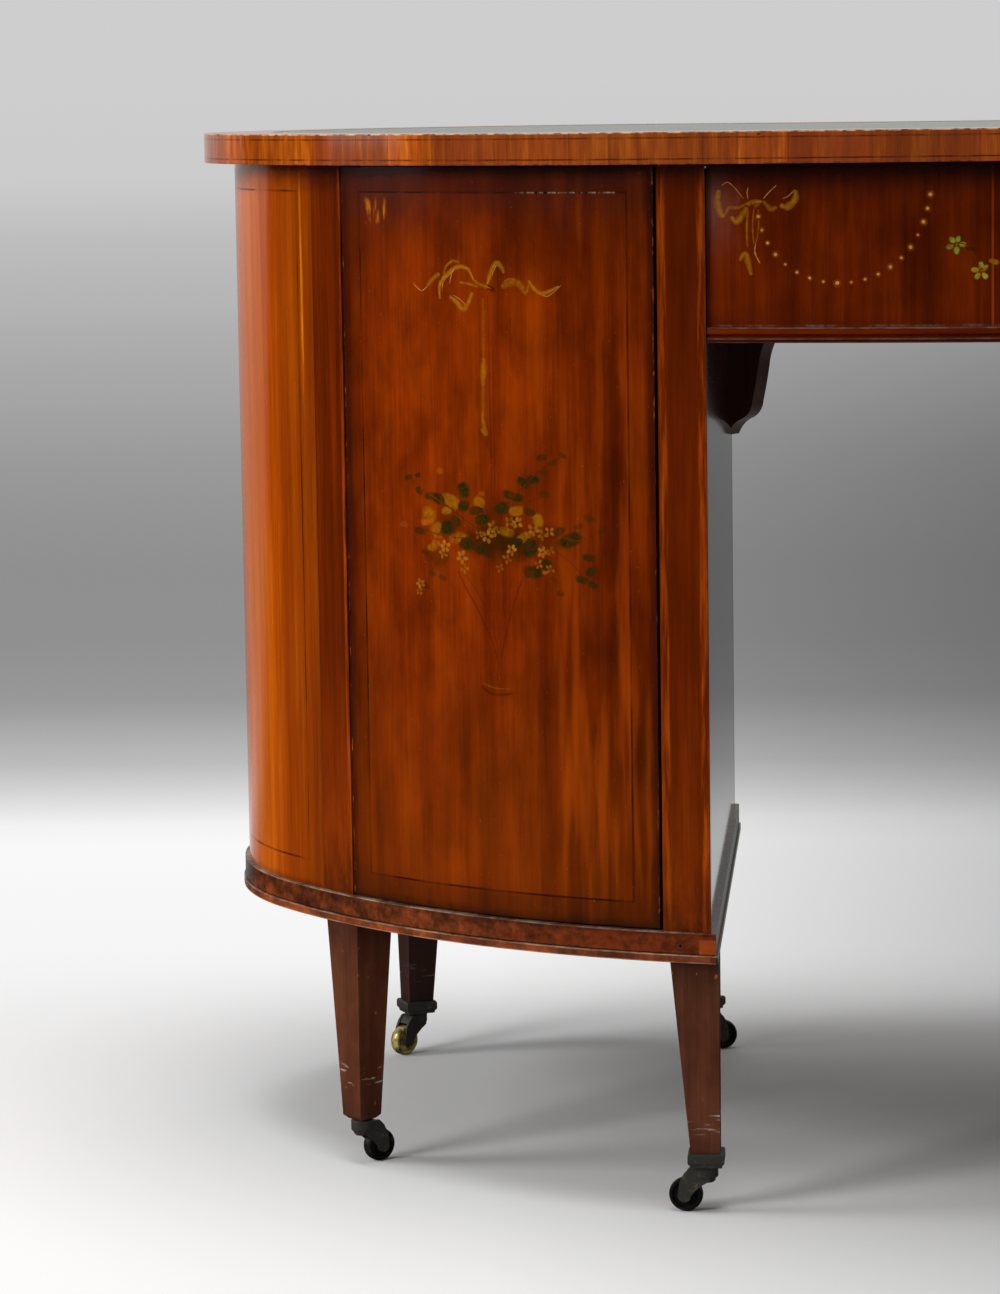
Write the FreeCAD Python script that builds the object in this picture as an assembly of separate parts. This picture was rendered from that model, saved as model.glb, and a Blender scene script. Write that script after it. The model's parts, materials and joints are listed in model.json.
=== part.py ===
import FreeCAD, Part
import math
import os

# Writing desk with a kidney-shaped top on two bowed pedestals.
# X runs along the desk, Y from the room side to the sitter's side, Z up from the floor; millimetres.
# The left pedestal is built and the right one is its mirror image.

V = FreeCAD.Vector

# Whole desk
deskHeight = 762.0
topThickness = 22.0
topOverhang = 22.8
kneeholeWidth = 540.0

# Plan of a pedestal: a shallow bow to the room that turns into a round lobe (angles in degrees from -Y)
bowRadius = 540.0
bowStartAngle = 11.64
bowTurnAngle = 53.8
lobeRadius = 239.6

# Top: board, crossbanded edge and leather
edgeBandWidth = 6.0
leatherBorder = 52.0
leatherRecess = 1.6
leatherThickness = 1.4

# Plinth and base board
plinthUnderside = 182.8
plinthHeight = 21.3
plinthLipHeight = 5.6
plinthLipProjection = 4.6
plinthBandProjection = 3.4
plinthInnerWidth = 16.0
baseBoardSides = 14

# Case
panelThickness = 16.0
sideThickness = 15.0
stileWidth = 35.0
stileThickness = 20.0
outerStileEndAngle = 48.2
partitionThickness = 12.0
partitionSetback = 235.0
shelfThickness = 12.0
shelfHeightShare = 0.5
shelfFrontSetback = 30.0
sitterStileWidth = 30.0

# Cupboard door on pivot pins
doorThickness = 19.0
doorGap = 2.4
doorEndGap = 1.5
pivotRadius = 2.5
pivotFit = 0.06
pivotDepth = 9.0
pivotFromEdge = 8.0
pivotFromFace = 4.5

# Drawers of the pedestals: each opening's share of the height left between the rails, upper to lower
drawerHeightShares = {"upper": 0.30, "middle": 0.33, "lower": 0.37}
railThickness = 12.0
railDepth = 22.0
drawerEndMargin = 93.0
drawerGap = 1.0
drawerFrontThickness = 18.0
drawerSideThickness = 9.0
drawerSideGap = 2.0
drawerBottomThickness = 6.0
drawerBottomRaise = 6.0
drawerRunClearance = 0.3
drawerBoxDrop = 12.0
drawerBackGap = 6.0
runnerWidth = 24.0
guideHeight = 18.0
guideGap = 0.6
knobRadius = 13.0
knobNeckRadius = 6.0
knobLength = 20.0
knobSides = 8
knobSpacingShare = 0.5
# How far the outline stands out from the neck to the full radius, and how far along the knob
knobOutlineShares = ((0.0, 0.0), (0.0, 0.35), (0.9, 0.52), (0.9, 0.85), (0.0, 1.0))

# Frieze over the kneehole
friezeHeight = 123.0
friezeThickness = 18.0
friezeSetback = 4.0
friezeEndGap = 0.6
friezeMouldingHeight = 11.0
friezeMouldingProjection = 1.6
friezeBeadRadius = 2.6
friezeBeadSides = 3
friezeRailHeight = 12.0
friezeDrawerSideInset = 20.0
friezeDrawerLengthGap = 14.0
friezeRunnerHeight = 12.0
friezeGuideHeight = 30.0

# Brackets under the sitter's rail
bracketHeight = 106.0
bracketWidth = 78.0
bracketThickness = 18.0

# Legs, square and tapered on their two inner faces
legTopWidth = 34.0
legFootWidth = 20.0
legSetback = 3.6
nearEndLegShift = 7.5
nearEndLegTurn = 43.0
farEndLegInset = 11.3
farEndLegTurn = 63.3
kneeFarLegInset = 22.6
kneeFarLegSetback = 15.0
farRoundSquare = 270.0
legTenonWidth = 17.0
legTenonHeight = 15.0
bareFootChamfer = 3.0

# Casters
casterHeight = 34.0
wheelRadius = 12.2
wheelWidth = 8.6
wheelSides = 16
wheelGap = 0.3
axleRadius = 2.0
axleFit = 0.05
cheekThickness = 2.2
casterTrail = 15.0
bossRadius = 8.3
bossHeight = 12.4
bossGap = 0.3
hornEyeRadius = 5.0
hornWidthShare = 0.95
bossSides = 10
stemRadius = 3.5
stemFit = 0.08
stemLength = 20.0
stemBoreExtra = 2.0
cupHeight = 10.0
cupFloor = 2.0
cupWaistWidth = 26.0
cupRimWidth = 24.4
cupFootWidth = 22.8
cupRimShares = (0.15, 0.35, 0.85)

# Where each caster's wheel trails at rest, in degrees from +X, for legs 1 to 4 of each pedestal
casterTrailAngles = {"left": (170.0, 42.0, 229.0, 12.0), "right": (205.0, 318.0, 95.0, 150.0)}
# The leg that has lost its cup
bareLeg = ("left", 2)

# Flat sides of the pins and of the bores that they turn in
pinSides = 10

# One overrun serves every cut
overrun = 5.0

# Values that follow from the sizes above
topUnderside = deskHeight - topThickness
friezeUnderside = topUnderside - friezeHeight
plinthTop = plinthUnderside + plinthHeight
halfKnee = kneeholeWidth / 2


def outward(angle):
    a = math.radians(angle)
    return V(-math.sin(a), -math.cos(a), 0)


def pointAt(centre, radius, angle, z=0):
    return centre + outward(angle) * radius + V(0, 0, z)


# The plan is laid out from the near corner of the kneehole and then centred over the floor
cornerX = -halfKnee
frontBowRadius = halfKnee / math.sin(math.radians(bowStartAngle))
lobeFromBow = outward(bowTurnAngle) * (bowRadius - lobeRadius)
bowFromCorner = outward(bowStartAngle) * (-bowRadius)
crownFromCorner = (bowFromCorner + lobeFromBow).y + lobeRadius + topOverhang
frontFromCorner = frontBowRadius * (math.cos(math.radians(bowStartAngle)) - 1) - topOverhang
nearY = -(crownFromCorner + frontFromCorner) / 2
corner = V(cornerX, nearY, 0)
bowCentre = corner + bowFromCorner
lobeCentre = bowCentre + lobeFromBow
farReach = math.degrees(math.asin((cornerX - lobeCentre.x) / lobeRadius))
farAngle = 180 + farReach
farCorner = pointAt(lobeCentre, lobeRadius, farAngle)
frontBowCentre = pointAt(corner, -frontBowRadius, bowStartAngle)
hollowRadius = halfKnee / math.sin(math.radians(farReach))
hollowCentre = V(0, farCorner.y + hollowRadius * math.cos(math.radians(farReach)), 0)


def arc(centre, radius, start, end, z=0):
    middle = (start + end) / 2
    return Part.Arc(pointAt(centre, radius, start, z), pointAt(centre, radius, middle, z),
                    pointAt(centre, radius, end, z)).toShape()


def line(first, second):
    return Part.makeLine(first, second)


def faceOf(edges):
    return Part.Face(Part.Wire(Part.__sortEdges__(edges)))


def polygon(points):
    return Part.Face(Part.makePolygon(list(points) + [points[0]]))


def prism(sides, radius, base, along):
    # A round bar with few flat sides, whose corners lie on the radius
    return polygon([rimPoint(radius, k / sides, base, along) for k in range(sides)]).extrude(along)


def rimPoint(radius, turnShare, base, along):
    up = V(0, 0, 1) if along.z == 0 else V(0, 1, 0)
    t = 2 * math.pi * turnShare
    return base + V(1, 0, 0) * (radius * math.cos(t)) + up * (radius * math.sin(t))


def pin(radius, base, along):
    # A pin to turn on: its first side is truly round, the others are flats
    share = 1 / pinSides
    rim = [rimPoint(radius, k * share, base, along) for k in range(1, pinSides + 1)]
    edges = [line(first, second) for first, second in zip(rim, rim[1:])]
    edges.append(Part.Arc(rim[-1], rimPoint(radius, share / 2, base, along), rim[0]).toShape())
    return faceOf(edges).extrude(along)


def boreFor(radius, fit, base, along):
    # The bore that a pin of this radius turns in: its flats stand off from the pin by the fit
    return prism(pinSides, (radius + fit) / math.cos(math.pi / pinSides), base, along)


def stacked(rings):
    # A closed solid with flat faces between rings that have the same count of corners
    faces = [polygon(rings[0]), polygon(rings[-1])]
    for low, high in zip(rings, rings[1:]):
        for k in range(len(low)):
            n = (k + 1) % len(low)
            faces.append(polygon([low[k], low[n], high[n], high[k]]))
    solid = Part.Solid(Part.Shell(faces))
    if solid.Volume < 0:
        solid.reverse()
    return solid


def box(low, high):
    return Part.makeBox(high.x - low.x, high.y - low.y, high.z - low.z, low)


def mirrored(shape):
    return shape.mirror(V(0, 0, 0), V(1, 0, 0))


def pedestalPath(offset, start, end, z=0):
    # The pedestal's curve from one angle to another, moved outward by the offset
    edges = []
    if start < bowTurnAngle:
        edges.append(arc(bowCentre, bowRadius + offset, start, min(end, bowTurnAngle), z))
    if end > bowTurnAngle:
        edges.append(arc(lobeCentre, lobeRadius + offset, max(start, bowTurnAngle), end, z))
    return edges


def pedestalPoint(offset, angle, z=0):
    if angle < bowTurnAngle:
        return pointAt(bowCentre, bowRadius + offset, angle, z)
    return pointAt(lobeCentre, lobeRadius + offset, angle, z)


def nearAngleAt(x, offset=0):
    return math.degrees(math.asin((bowCentre.x - x) / (bowRadius + offset)))


def farAngleAt(x, offset=0):
    return 180 - math.degrees(math.asin((lobeCentre.x - x) / (lobeRadius + offset)))


def bandPiece(outer, inner, start, end, z0, z1):
    # A curved board that follows the pedestal's plan between two offsets
    edges = pedestalPath(outer, start, end, z0) + pedestalPath(inner, start, end, z0)
    edges.append(line(pedestalPoint(outer, start, z0), pedestalPoint(inner, start, z0)))
    edges.append(line(pedestalPoint(outer, end, z0), pedestalPoint(inner, end, z0)))
    return faceOf(edges).extrude(V(0, 0, z1 - z0))


def pedestalSolid(offset, z0, z1):
    # The whole plan of a pedestal, moved outward by the offset on every side
    x = cornerX + offset
    start, end = nearAngleAt(x, offset), farAngleAt(x, offset)
    edges = pedestalPath(offset, start, end, z0)
    edges.append(line(pedestalPoint(offset, end, z0), pedestalPoint(offset, start, z0)))
    return faceOf(edges).extrude(V(0, 0, z1 - z0))


def deskSolid(offset, z0, z1):
    # The kidney plan of the top: six tangent arcs
    left = pedestalPath(offset, bowStartAngle, farAngle, z0)
    right = [mirrored(e) for e in left]
    front = arc(frontBowCentre, frontBowRadius + offset, bowStartAngle, -bowStartAngle, z0)
    hollow = arc(hollowCentre, offset - hollowRadius, 180 + farReach, 180 - farReach, z0)
    return faceOf(left + right + [front, hollow]).extrude(V(0, 0, z1 - z0))


def topPieces():
    board = deskSolid(topOverhang - edgeBandWidth, topUnderside, deskHeight)
    leatherOffset = topOverhang - leatherBorder
    leatherFloor = deskHeight - leatherRecess
    board = board.cut(deskSolid(leatherOffset, leatherFloor, deskHeight + overrun))
    for side in (1, -1):
        bore = pivotBore(topUnderside, 1)
        board = board.cut(bore if side > 0 else mirrored(bore))
    band = deskSolid(topOverhang, topUnderside, deskHeight)
    band = band.cut(deskSolid(topOverhang - edgeBandWidth, topUnderside - overrun, deskHeight + overrun))
    leather = deskSolid(leatherOffset, leatherFloor, leatherFloor + leatherThickness)
    return board, band, leather


def frontBand(outer, inner, z0, z1, endGap):
    # A board that follows the shallow bow over the kneehole, cut square at its ends
    reach = halfKnee - endGap
    edges = []
    for offset in (outer, inner):
        radius = frontBowRadius + offset
        a = math.degrees(math.asin(reach / radius))
        edges.append(arc(frontBowCentre, radius, a, -a, z0))
    for side in (0, 1):
        first = edges[0].Vertexes[side].Point
        second = edges[1].Vertexes[side].Point
        edges.append(line(first, second))
    return faceOf(edges).extrude(V(0, 0, z1 - z0))


def friezeMoulding():
    # Two beads under the frieze, swept round the bow as a revolve
    z0, z1 = friezeUnderside, friezeUnderside + friezeMouldingHeight
    back = frontBowRadius - friezeSetback - friezeThickness
    face = frontBowRadius - friezeSetback + friezeMouldingProjection
    r = friezeBeadRadius
    lowest = z0

    def at(radius, z):
        return frontBowCentre + V(0, -radius, z)
    points = [at(back, lowest)]
    for bead in (0, 1):
        middle = lowest + (2 * bead + 1) * r
        for k in range(bead, friezeBeadSides + 1):
            a = math.pi * (k / friezeBeadSides - 1 / 2)
            points.append(at(face + r * math.cos(a), middle + r * math.sin(a)))
    points += [at(face, z1), at(back, z1)]
    sweep = math.degrees(math.asin((halfKnee + overrun) / back))
    profile = polygon(points)
    profile.rotate(frontBowCentre, V(0, 0, 1), -sweep)
    ring = profile.revolve(frontBowCentre, V(0, 0, 1), 2 * sweep)
    reach = halfKnee - friezeEndGap
    deep = frontBowRadius
    return ring.common(box(V(-reach, frontBowCentre.y - deep - overrun - face + back, z0 - overrun),
                           V(reach, frontBowCentre.y, z1 + overrun)))


def hollowBand(thickness, z0, z1, endGap):
    # A board that follows the sitter's hollow, cut square at its ends
    reach = halfKnee - endGap
    edges = []
    for radius in (hollowRadius, hollowRadius + thickness):
        a = math.degrees(math.asin(reach / radius))
        edges.append(arc(hollowCentre, radius, a, -a, z0))
    for side in (0, 1):
        edges.append(line(edges[0].Vertexes[side].Point, edges[1].Vertexes[side].Point))
    return faceOf(edges).extrude(V(0, 0, z1 - z0))


def hollowDisc(thickness, z0, z1):
    return Part.makeCylinder(hollowRadius + thickness, z1 - z0, hollowCentre + V(0, 0, z0))


def sitterRails():
    lower = hollowBand(friezeThickness, friezeUnderside, friezeUnderside + friezeRailHeight, 0)
    upper = hollowBand(friezeThickness, topUnderside - friezeRailHeight, topUnderside, 0)
    return [lower, upper]


def friezeRunners():
    # L-shaped bearers on the kneehole sides that carry and guide the frieze drawer
    z0 = friezeUnderside + friezeRailHeight - friezeRunnerHeight
    z1 = z0 + friezeRunnerHeight
    inner = halfKnee - friezeDrawerSideInset - drawerSideThickness - drawerGap
    guide = halfKnee - friezeDrawerSideInset + drawerGap
    y0 = frontBowCentre.y - frontBowRadius
    y1 = hollowCentre.y
    profile = polygon([V(-halfKnee, y0, z0), V(-inner, y0, z0), V(-inner, y0, z1), V(-guide, y0, z1),
                       V(-guide, y0, z1 + friezeGuideHeight), V(-halfKnee, y0, z1 + friezeGuideHeight)])
    bar = profile.extrude(V(0, y1 - y0, 0))
    bar = bar.cut(hollowDisc(friezeThickness, z0 - overrun, z1 + friezeGuideHeight + overrun))
    inside = frontBowRadius - friezeSetback - friezeThickness
    bar = bar.common(Part.makeCylinder(inside, deskHeight, frontBowCentre))
    return [bar, mirrored(bar)]


def friezeDrawer():
    z0 = friezeUnderside + friezeRailHeight
    z1 = topUnderside - friezeRailHeight
    front = hollowBand(drawerFrontThickness, z0 + drawerGap, z1 - drawerGap, drawerGap)
    sideZ0 = z0 + drawerRunClearance
    sideZ1 = z1 - drawerBoxDrop
    outer = halfKnee - friezeDrawerSideInset
    inner = outer - drawerSideThickness
    backY = frontBowCentre.y - (frontBowRadius - friezeSetback - friezeThickness) * math.cos(
        math.radians(bowStartAngle)) + friezeDrawerLengthGap
    keep = hollowDisc(drawerFrontThickness, sideZ0 - overrun, sideZ1 + overrun)
    side = box(V(-outer, backY, sideZ0), V(-inner, hollowCentre.y, sideZ1)).cut(keep)
    back = box(V(-inner, backY, sideZ0), V(inner, backY + drawerSideThickness, sideZ1))
    bottomZ = sideZ0 + drawerBottomRaise
    bottom = box(V(-inner, backY + drawerSideThickness, bottomZ),
                 V(inner, hollowCentre.y, bottomZ + drawerBottomThickness)).cut(keep)
    knobZ = (z0 + z1) / 2
    seats = []
    rimSeat = math.sqrt(hollowRadius ** 2 - knobNeckRadius ** 2)
    for share in (-knobSpacingShare, knobSpacingShare):
        turn = math.degrees(math.asin(share * halfKnee / hollowRadius))
        seats.append((pointAt(hollowCentre, rimSeat, -turn, knobZ), turn))
    return [front] + knobsAt(seats), [side, mirrored(side), back, bottom]


def knob():
    # A turned knob that stands out along +Y from a flat seat
    rings = []
    turns = [2 * math.pi * k / knobSides for k in range(knobSides)]
    for wide, far in knobOutlineShares:
        radius = knobNeckRadius + (knobRadius - knobNeckRadius) * wide
        rings.append([V(radius * math.cos(t), far * knobLength, radius * math.sin(t)) for t in turns])
    return stacked(rings)


def knobsAt(seats):
    # Each knob stands square to its front at a seat: a point and a turn in degrees
    knobs = []
    for point, turn in seats:
        shape = knob()
        shape.rotate(V(0, 0, 0), V(0, 0, 1), turn)
        shape.translate(point)
        knobs.append(shape)
    return knobs


def bracket():
    # A flat shaped bracket under the sitter's rail, tangent to the hollow at its own middle
    w, h = bracketWidth, bracketHeight
    foot = friezeUnderside - h
    outlineShares = ((0.10, 0.0), (0.16, 0.07), (0.25, 0.12), (0.345, 0.165), (0.40, 0.26), (0.44, 0.39),
                     (0.475, 0.53), (0.63, 0.80), (1.0, 0.965))
    points = [V(u * w, 0, foot + v * h) for u, v in outlineShares]
    head, root = V(0, 0, friezeUnderside), V(0, 0, foot)
    edges = [Part.Arc(*points[k:k + 3]).toShape() for k in range(0, len(points) - 1, 2)]
    edges += [line(points[-1], V(w, 0, head.z)), line(V(w, 0, head.z), head), line(head, root), line(root, points[0])]
    plate = faceOf(edges).extrude(V(0, -bracketThickness, 0))
    turn = farReach - math.degrees(w / 2 / hollowRadius)
    touch = pointAt(hollowCentre, hollowRadius, turn)
    plate.translate(V(-w / 2, 0, 0))
    plate.rotate(V(0, 0, 0), V(0, 0, 1), -turn)
    plate.translate(touch)
    return plate.common(box(V(cornerX, nearY, 0), V(halfKnee, farCorner.y + w, deskHeight)))


# Angles and places of the door, stiles and drawers in the left pedestal
def angleForWidth(width):
    return math.degrees(width / bowRadius)


innerStileAngle = bowStartAngle + angleForWidth(stileWidth)
outerStileAngle = outerStileEndAngle - angleForWidth(stileWidth)
doorStartAngle = innerStileAngle + angleForWidth(doorGap)
doorEndAngle = outerStileAngle - angleForWidth(doorGap)
pivotAngle = doorStartAngle + angleForWidth(pivotFromEdge)
pivotPoint = pedestalPoint(-pivotFromFace, pivotAngle)
openingRight = cornerX - sitterStileWidth
openingLeft = lobeCentre.x - lobeRadius + drawerEndMargin
endPanelEndAngle = farAngleAt(openingLeft - sitterStileWidth)
partitionY = nearY + partitionSetback


def pivotBore(z, direction):
    start = z if direction > 0 else z - pivotDepth - overrun
    return boreFor(pivotRadius, pivotFit, pivotPoint + V(0, 0, start), V(0, 0, pivotDepth + overrun))


def baseSolid(z0, z1):
    # The base board's plan: the room's side and the lobe as short straight cuts
    offset = -plinthInnerWidth
    x = cornerX + offset
    start, end = nearAngleAt(x, offset), farAngleAt(x, offset)
    step = (end - start) / baseBoardSides
    rim = [pedestalPoint(offset, start + k * step, z0) for k in range(baseBoardSides + 1)]
    return polygon(rim).extrude(V(0, 0, z1 - z0))


def plinth():
    lipTop = plinthUnderside + plinthLipHeight
    ring = pedestalSolid(plinthLipProjection, plinthUnderside, lipTop)
    ring = ring.fuse(pedestalSolid(plinthBandProjection, lipTop, plinthTop))
    ring = ring.cut(baseSolid(plinthUnderside - overrun, plinthTop + overrun))
    return withMortises(ring.cut(pivotBore(plinthTop, -1)))


def withMortises(board):
    for seat in legSeats():
        board = board.cut(legTenon(seat))
    return board


def baseBoard():
    return withMortises(baseSolid(plinthUnderside, plinthTop))


def stiles():
    inner = bandPiece(0, -stileThickness, nearAngleAt(cornerX) - angleForWidth(stileWidth), innerStileAngle,
                      plinthTop, topUnderside)
    inner = inner.common(box(V(cornerX - kneeholeWidth, nearY - kneeholeWidth, 0), V(cornerX, farCorner.y, deskHeight)))
    outer = bandPiece(0, -stileThickness, outerStileAngle, outerStileEndAngle, plinthTop, topUnderside)
    sitterInner = bandPiece(0, -stileThickness, farAngleAt(openingRight) - farReach, farAngle + farReach,
                            plinthTop, topUnderside)
    sitterInner = sitterInner.common(box(V(openingRight, nearY, 0), V(cornerX, farCorner.y + lobeRadius, deskHeight)))
    sitterOuter = bandPiece(0, -stileThickness, endPanelEndAngle, farAngleAt(openingLeft) + farReach,
                            plinthTop, topUnderside)
    sitterOuter = sitterOuter.common(box(V(openingLeft - lobeRadius, nearY, 0),
                                         V(openingLeft, farCorner.y + lobeRadius, deskHeight)))
    return [inner, outer, sitterInner, sitterOuter]


def endPanel():
    return bandPiece(0, -panelThickness, outerStileEndAngle, endPanelEndAngle, plinthTop, topUnderside)


def kneeholeSide():
    board = box(V(cornerX - sideThickness, nearY, plinthTop), V(cornerX, farCorner.y, topUnderside))
    room = bandPiece(overrun, -stileThickness, bowStartAngle - angleForWidth(stileWidth),
                     innerStileAngle + angleForWidth(stileWidth), plinthTop - overrun, topUnderside + overrun)
    far = bandPiece(overrun, -stileThickness, farAngle - 2 * farReach, farAngle + farReach,
                    plinthTop - overrun, topUnderside + overrun)
    return board.cut(room).cut(far)


def caseInside():
    # The clear plan inside the end panel and the kneehole side
    plan = pedestalSolid(-panelThickness, plinthTop, topUnderside)
    return plan.common(box(V(cornerX - kneeholeWidth, nearY - kneeholeWidth, 0),
                           V(cornerX - sideThickness, farCorner.y + lobeRadius, deskHeight)))


def partition():
    slab = box(V(cornerX - kneeholeWidth, partitionY, plinthTop),
               V(cornerX - sideThickness, partitionY + partitionThickness, topUnderside))
    return slab.common(caseInside())


def shelf():
    z = plinthTop + (topUnderside - plinthTop) * shelfHeightShare
    slab = box(V(cornerX - kneeholeWidth, nearY - kneeholeWidth, z), V(cornerX, partitionY, z + shelfThickness))
    slab = slab.common(caseInside())
    inner = bowRadius - doorThickness - shelfFrontSetback
    return slab.common(Part.makeCylinder(inner, deskHeight, bowCentre))


def door():
    z0, z1 = plinthTop + doorEndGap, topUnderside - doorEndGap
    leaf = bandPiece(0, -doorThickness, doorStartAngle, doorEndAngle, z0, z1)
    pins = []
    for start in (plinthTop - pivotDepth, topUnderside - 2 * pivotDepth):
        pins.append(pin(pivotRadius, pivotPoint + V(0, 0, start), V(0, 0, 3 * pivotDepth)))
    return leaf.fuse(pins[0]).fuse(pins[1]).removeSplitter()


def drawerLevels():
    # The underside and the top of each drawer's opening
    levels = {}
    room = topUnderside - plinthTop - len(drawerHeightShares) * railThickness
    z = topUnderside - railThickness
    for name, share in drawerHeightShares.items():
        height = share * room
        levels[name] = (z - height, z)
        z -= height + railThickness
    return levels


def bearer(low, high, guideEdge, front, z0, z1):
    # One drawer bearer from the partition to the front rail, with a lip that guides the drawer's side
    back = partitionY + partitionThickness
    outer = low if guideEdge < (low + high) / 2 else high
    inner = high if outer == low else low
    top = z1 + guideHeight
    profile = polygon([V(outer, back, z0), V(inner, back, z0), V(inner, back, z1), V(guideEdge, back, z1),
                       V(guideEdge, back, top), V(outer, back, top)])
    return profile.extrude(V(0, front - back, 0))


def drawerRails():
    levels = drawerLevels()
    tops = [level[1] for level in levels.values()]
    wall = cornerX - sideThickness
    inside = caseInside().cut(stiles()[-1])
    y0 = partitionY + partitionThickness
    far = farCorner.y + lobeRadius
    railBack = pedestalPoint(-railDepth, farAngleAt(openingLeft, -railDepth)).y
    leftGuide = openingLeft + drawerSideGap - guideGap
    rightGuide = openingRight - drawerSideGap + guideGap
    pieces = []
    for z0 in tops:
        z1 = z0 + railThickness
        lobe = Part.makeCylinder(lobeRadius, railThickness, lobeCentre + V(0, 0, z0))
        pieces.append(box(V(openingLeft, railBack, z0), V(openingRight, far, z1)).common(lobe))
        if z0 == tops[0]:
            spans = ((openingLeft - runnerWidth / 2, openingLeft + runnerWidth), (openingRight - runnerWidth, wall))
            bars = [box(V(a, y0, z0), V(b, railBack, z1)) for a, b in spans]
        else:
            bars = [bearer(openingLeft - runnerWidth / 2, openingLeft + runnerWidth, leftGuide, railBack, z0, z1),
                    bearer(openingRight - runnerWidth, wall, rightGuide, railBack, z0, z1)]
        pieces += [bar.common(inside) for bar in bars]
    for a, b in ((openingLeft - runnerWidth / 2, leftGuide), (rightGuide, wall)):
        strip = box(V(a, y0, plinthTop), V(b, railBack, plinthTop + guideHeight))
        pieces.append(strip.common(inside))
    return pieces


def pedestalDrawer(name):
    z0, z1 = drawerLevels()[name]
    left, right = openingLeft + drawerGap, openingRight - drawerGap
    ring = bandPiece(0, -drawerFrontThickness, endPanelEndAngle, farAngle + farReach, z0 + drawerGap, z1 - drawerGap)
    front = ring.common(box(V(left, nearY, z0), V(right, farCorner.y + lobeRadius, z1)))
    sideZ0, sideZ1 = z0 + drawerRunClearance, z1 - drawerBoxDrop
    keep = Part.makeCylinder(lobeRadius - drawerFrontThickness, sideZ1 - sideZ0, lobeCentre + V(0, 0, sideZ0))
    outerL, outerR = openingLeft + drawerSideGap, openingRight - drawerSideGap
    innerL, innerR = outerL + drawerSideThickness, outerR - drawerSideThickness
    backY = partitionY + partitionThickness + drawerBackGap
    frontY = lobeCentre.y + lobeRadius
    sides = [box(V(a, backY, sideZ0), V(b, frontY, sideZ1)).common(keep) for a, b in ((outerL, innerL), (innerR, outerR))]
    back = box(V(innerL, backY, sideZ0), V(innerR, backY + drawerSideThickness, sideZ1))
    bottomZ = sideZ0 + drawerBottomRaise
    bottom = box(V(innerL, backY + drawerSideThickness, bottomZ),
                 V(innerR, frontY, bottomZ + drawerBottomThickness)).common(keep)
    middle, z = (left + right) / 2, (z0 + z1) / 2
    seats = []
    for share in (-knobSpacingShare, knobSpacingShare):
        angle = farAngleAt(middle + share * (right - left) / 2)
        seats.append((pedestalPoint(0, angle, z), 180 - angle))
    return [front] + knobsAt(seats), sides + [back, bottom]


def legSeats():
    # Each leg's middle at the top and the turn of its upright corner, in degrees
    half = legTopWidth / 2
    outerFace = plinthBandProjection - half
    kneeEdge = cornerX + plinthLipProjection - half
    kneeNear = pedestalPoint(outerFace, nearAngleAt(kneeEdge - half)).y + legSetback
    nearEnd = pedestalPoint(outerFace, (outerStileAngle + outerStileEndAngle) / 2 - angleForWidth(nearEndLegShift))
    farEnd = pedestalPoint(outerFace, farAngleAt(openingLeft + farEndLegInset))
    kneeFarAngle = farAngleAt(cornerX - kneeFarLegInset)
    kneeFar = pedestalPoint(outerFace - kneeFarLegSetback, kneeFarAngle)
    return [(kneeEdge, kneeNear, 0.0), (nearEnd.x, nearEnd.y, -nearEndLegTurn), (farEnd.x, farEnd.y, -farEndLegTurn),
            (kneeFar.x, kneeFar.y, farRoundSquare - kneeFarAngle)]


def square(width, cornerAt, z):
    # A level square whose outer corner, at +X and -Y, stays in one place
    c = cornerAt
    return [V(c, -c, z), V(c, width - c, z), V(c - width, width - c, z), V(c - width, -c, z)]


def legFrame(shape, seat):
    x, y, turn = seat
    shape.rotate(V(0, 0, 0), V(0, 0, 1), turn)
    shape.translate(V(x, y, 0))
    return shape


def footCentre(seat):
    x, y, turn = seat
    shift = (legTopWidth - legFootWidth) / 2
    a = math.radians(turn)
    return V(x + shift * (math.cos(a) + math.sin(a)), y + shift * (math.sin(a) - math.cos(a)), 0)


def legTenon(seat):
    half = legTenonWidth / 2
    foot = V(-half, -half, plinthUnderside)
    return legFrame(box(foot, V(half, half, plinthUnderside + legTenonHeight)), seat)


def legPost(seat, bare):
    half = legTopWidth / 2
    foot = casterHeight + (bossGap if bare else cupFloor)
    rings = [square(legFootWidth, half, foot), square(legTopWidth, half, plinthUnderside)]
    if bare:
        narrow = legFootWidth - 2 * bareFootChamfer
        rings[0] = square(legFootWidth, half, foot + bareFootChamfer)
        rings.insert(0, square(narrow, half - bareFootChamfer, foot))
    return legFrame(stacked(rings), seat)


def leg(seat, bare):
    bore = boreFor(stemRadius, stemFit, footCentre(seat) + V(0, 0, casterHeight - overrun),
                   V(0, 0, stemLength + stemBoreExtra + overrun))
    return legPost(seat, bare).fuse(legTenon(seat)).removeSplitter().cut(bore)


def cup(seat):
    # A square moulded cup round the foot
    z0 = casterHeight
    outer = legTopWidth / 2 - legFootWidth / 2
    low, waist, rim = [z0 + share * cupHeight for share in cupRimShares]
    outline = ((cupFootWidth, z0), (cupFootWidth, low), (cupWaistWidth, waist), (cupWaistWidth, rim),
               (cupRimWidth, z0 + cupHeight))
    shell = legFrame(stacked([square(width, outer + width / 2, z) for width, z in outline]), seat)
    bore = boreFor(stemRadius, stemFit, footCentre(seat) + V(0, 0, z0 - overrun), V(0, 0, cupHeight))
    return shell.cut(legPost(seat, False)).cut(bore)


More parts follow.
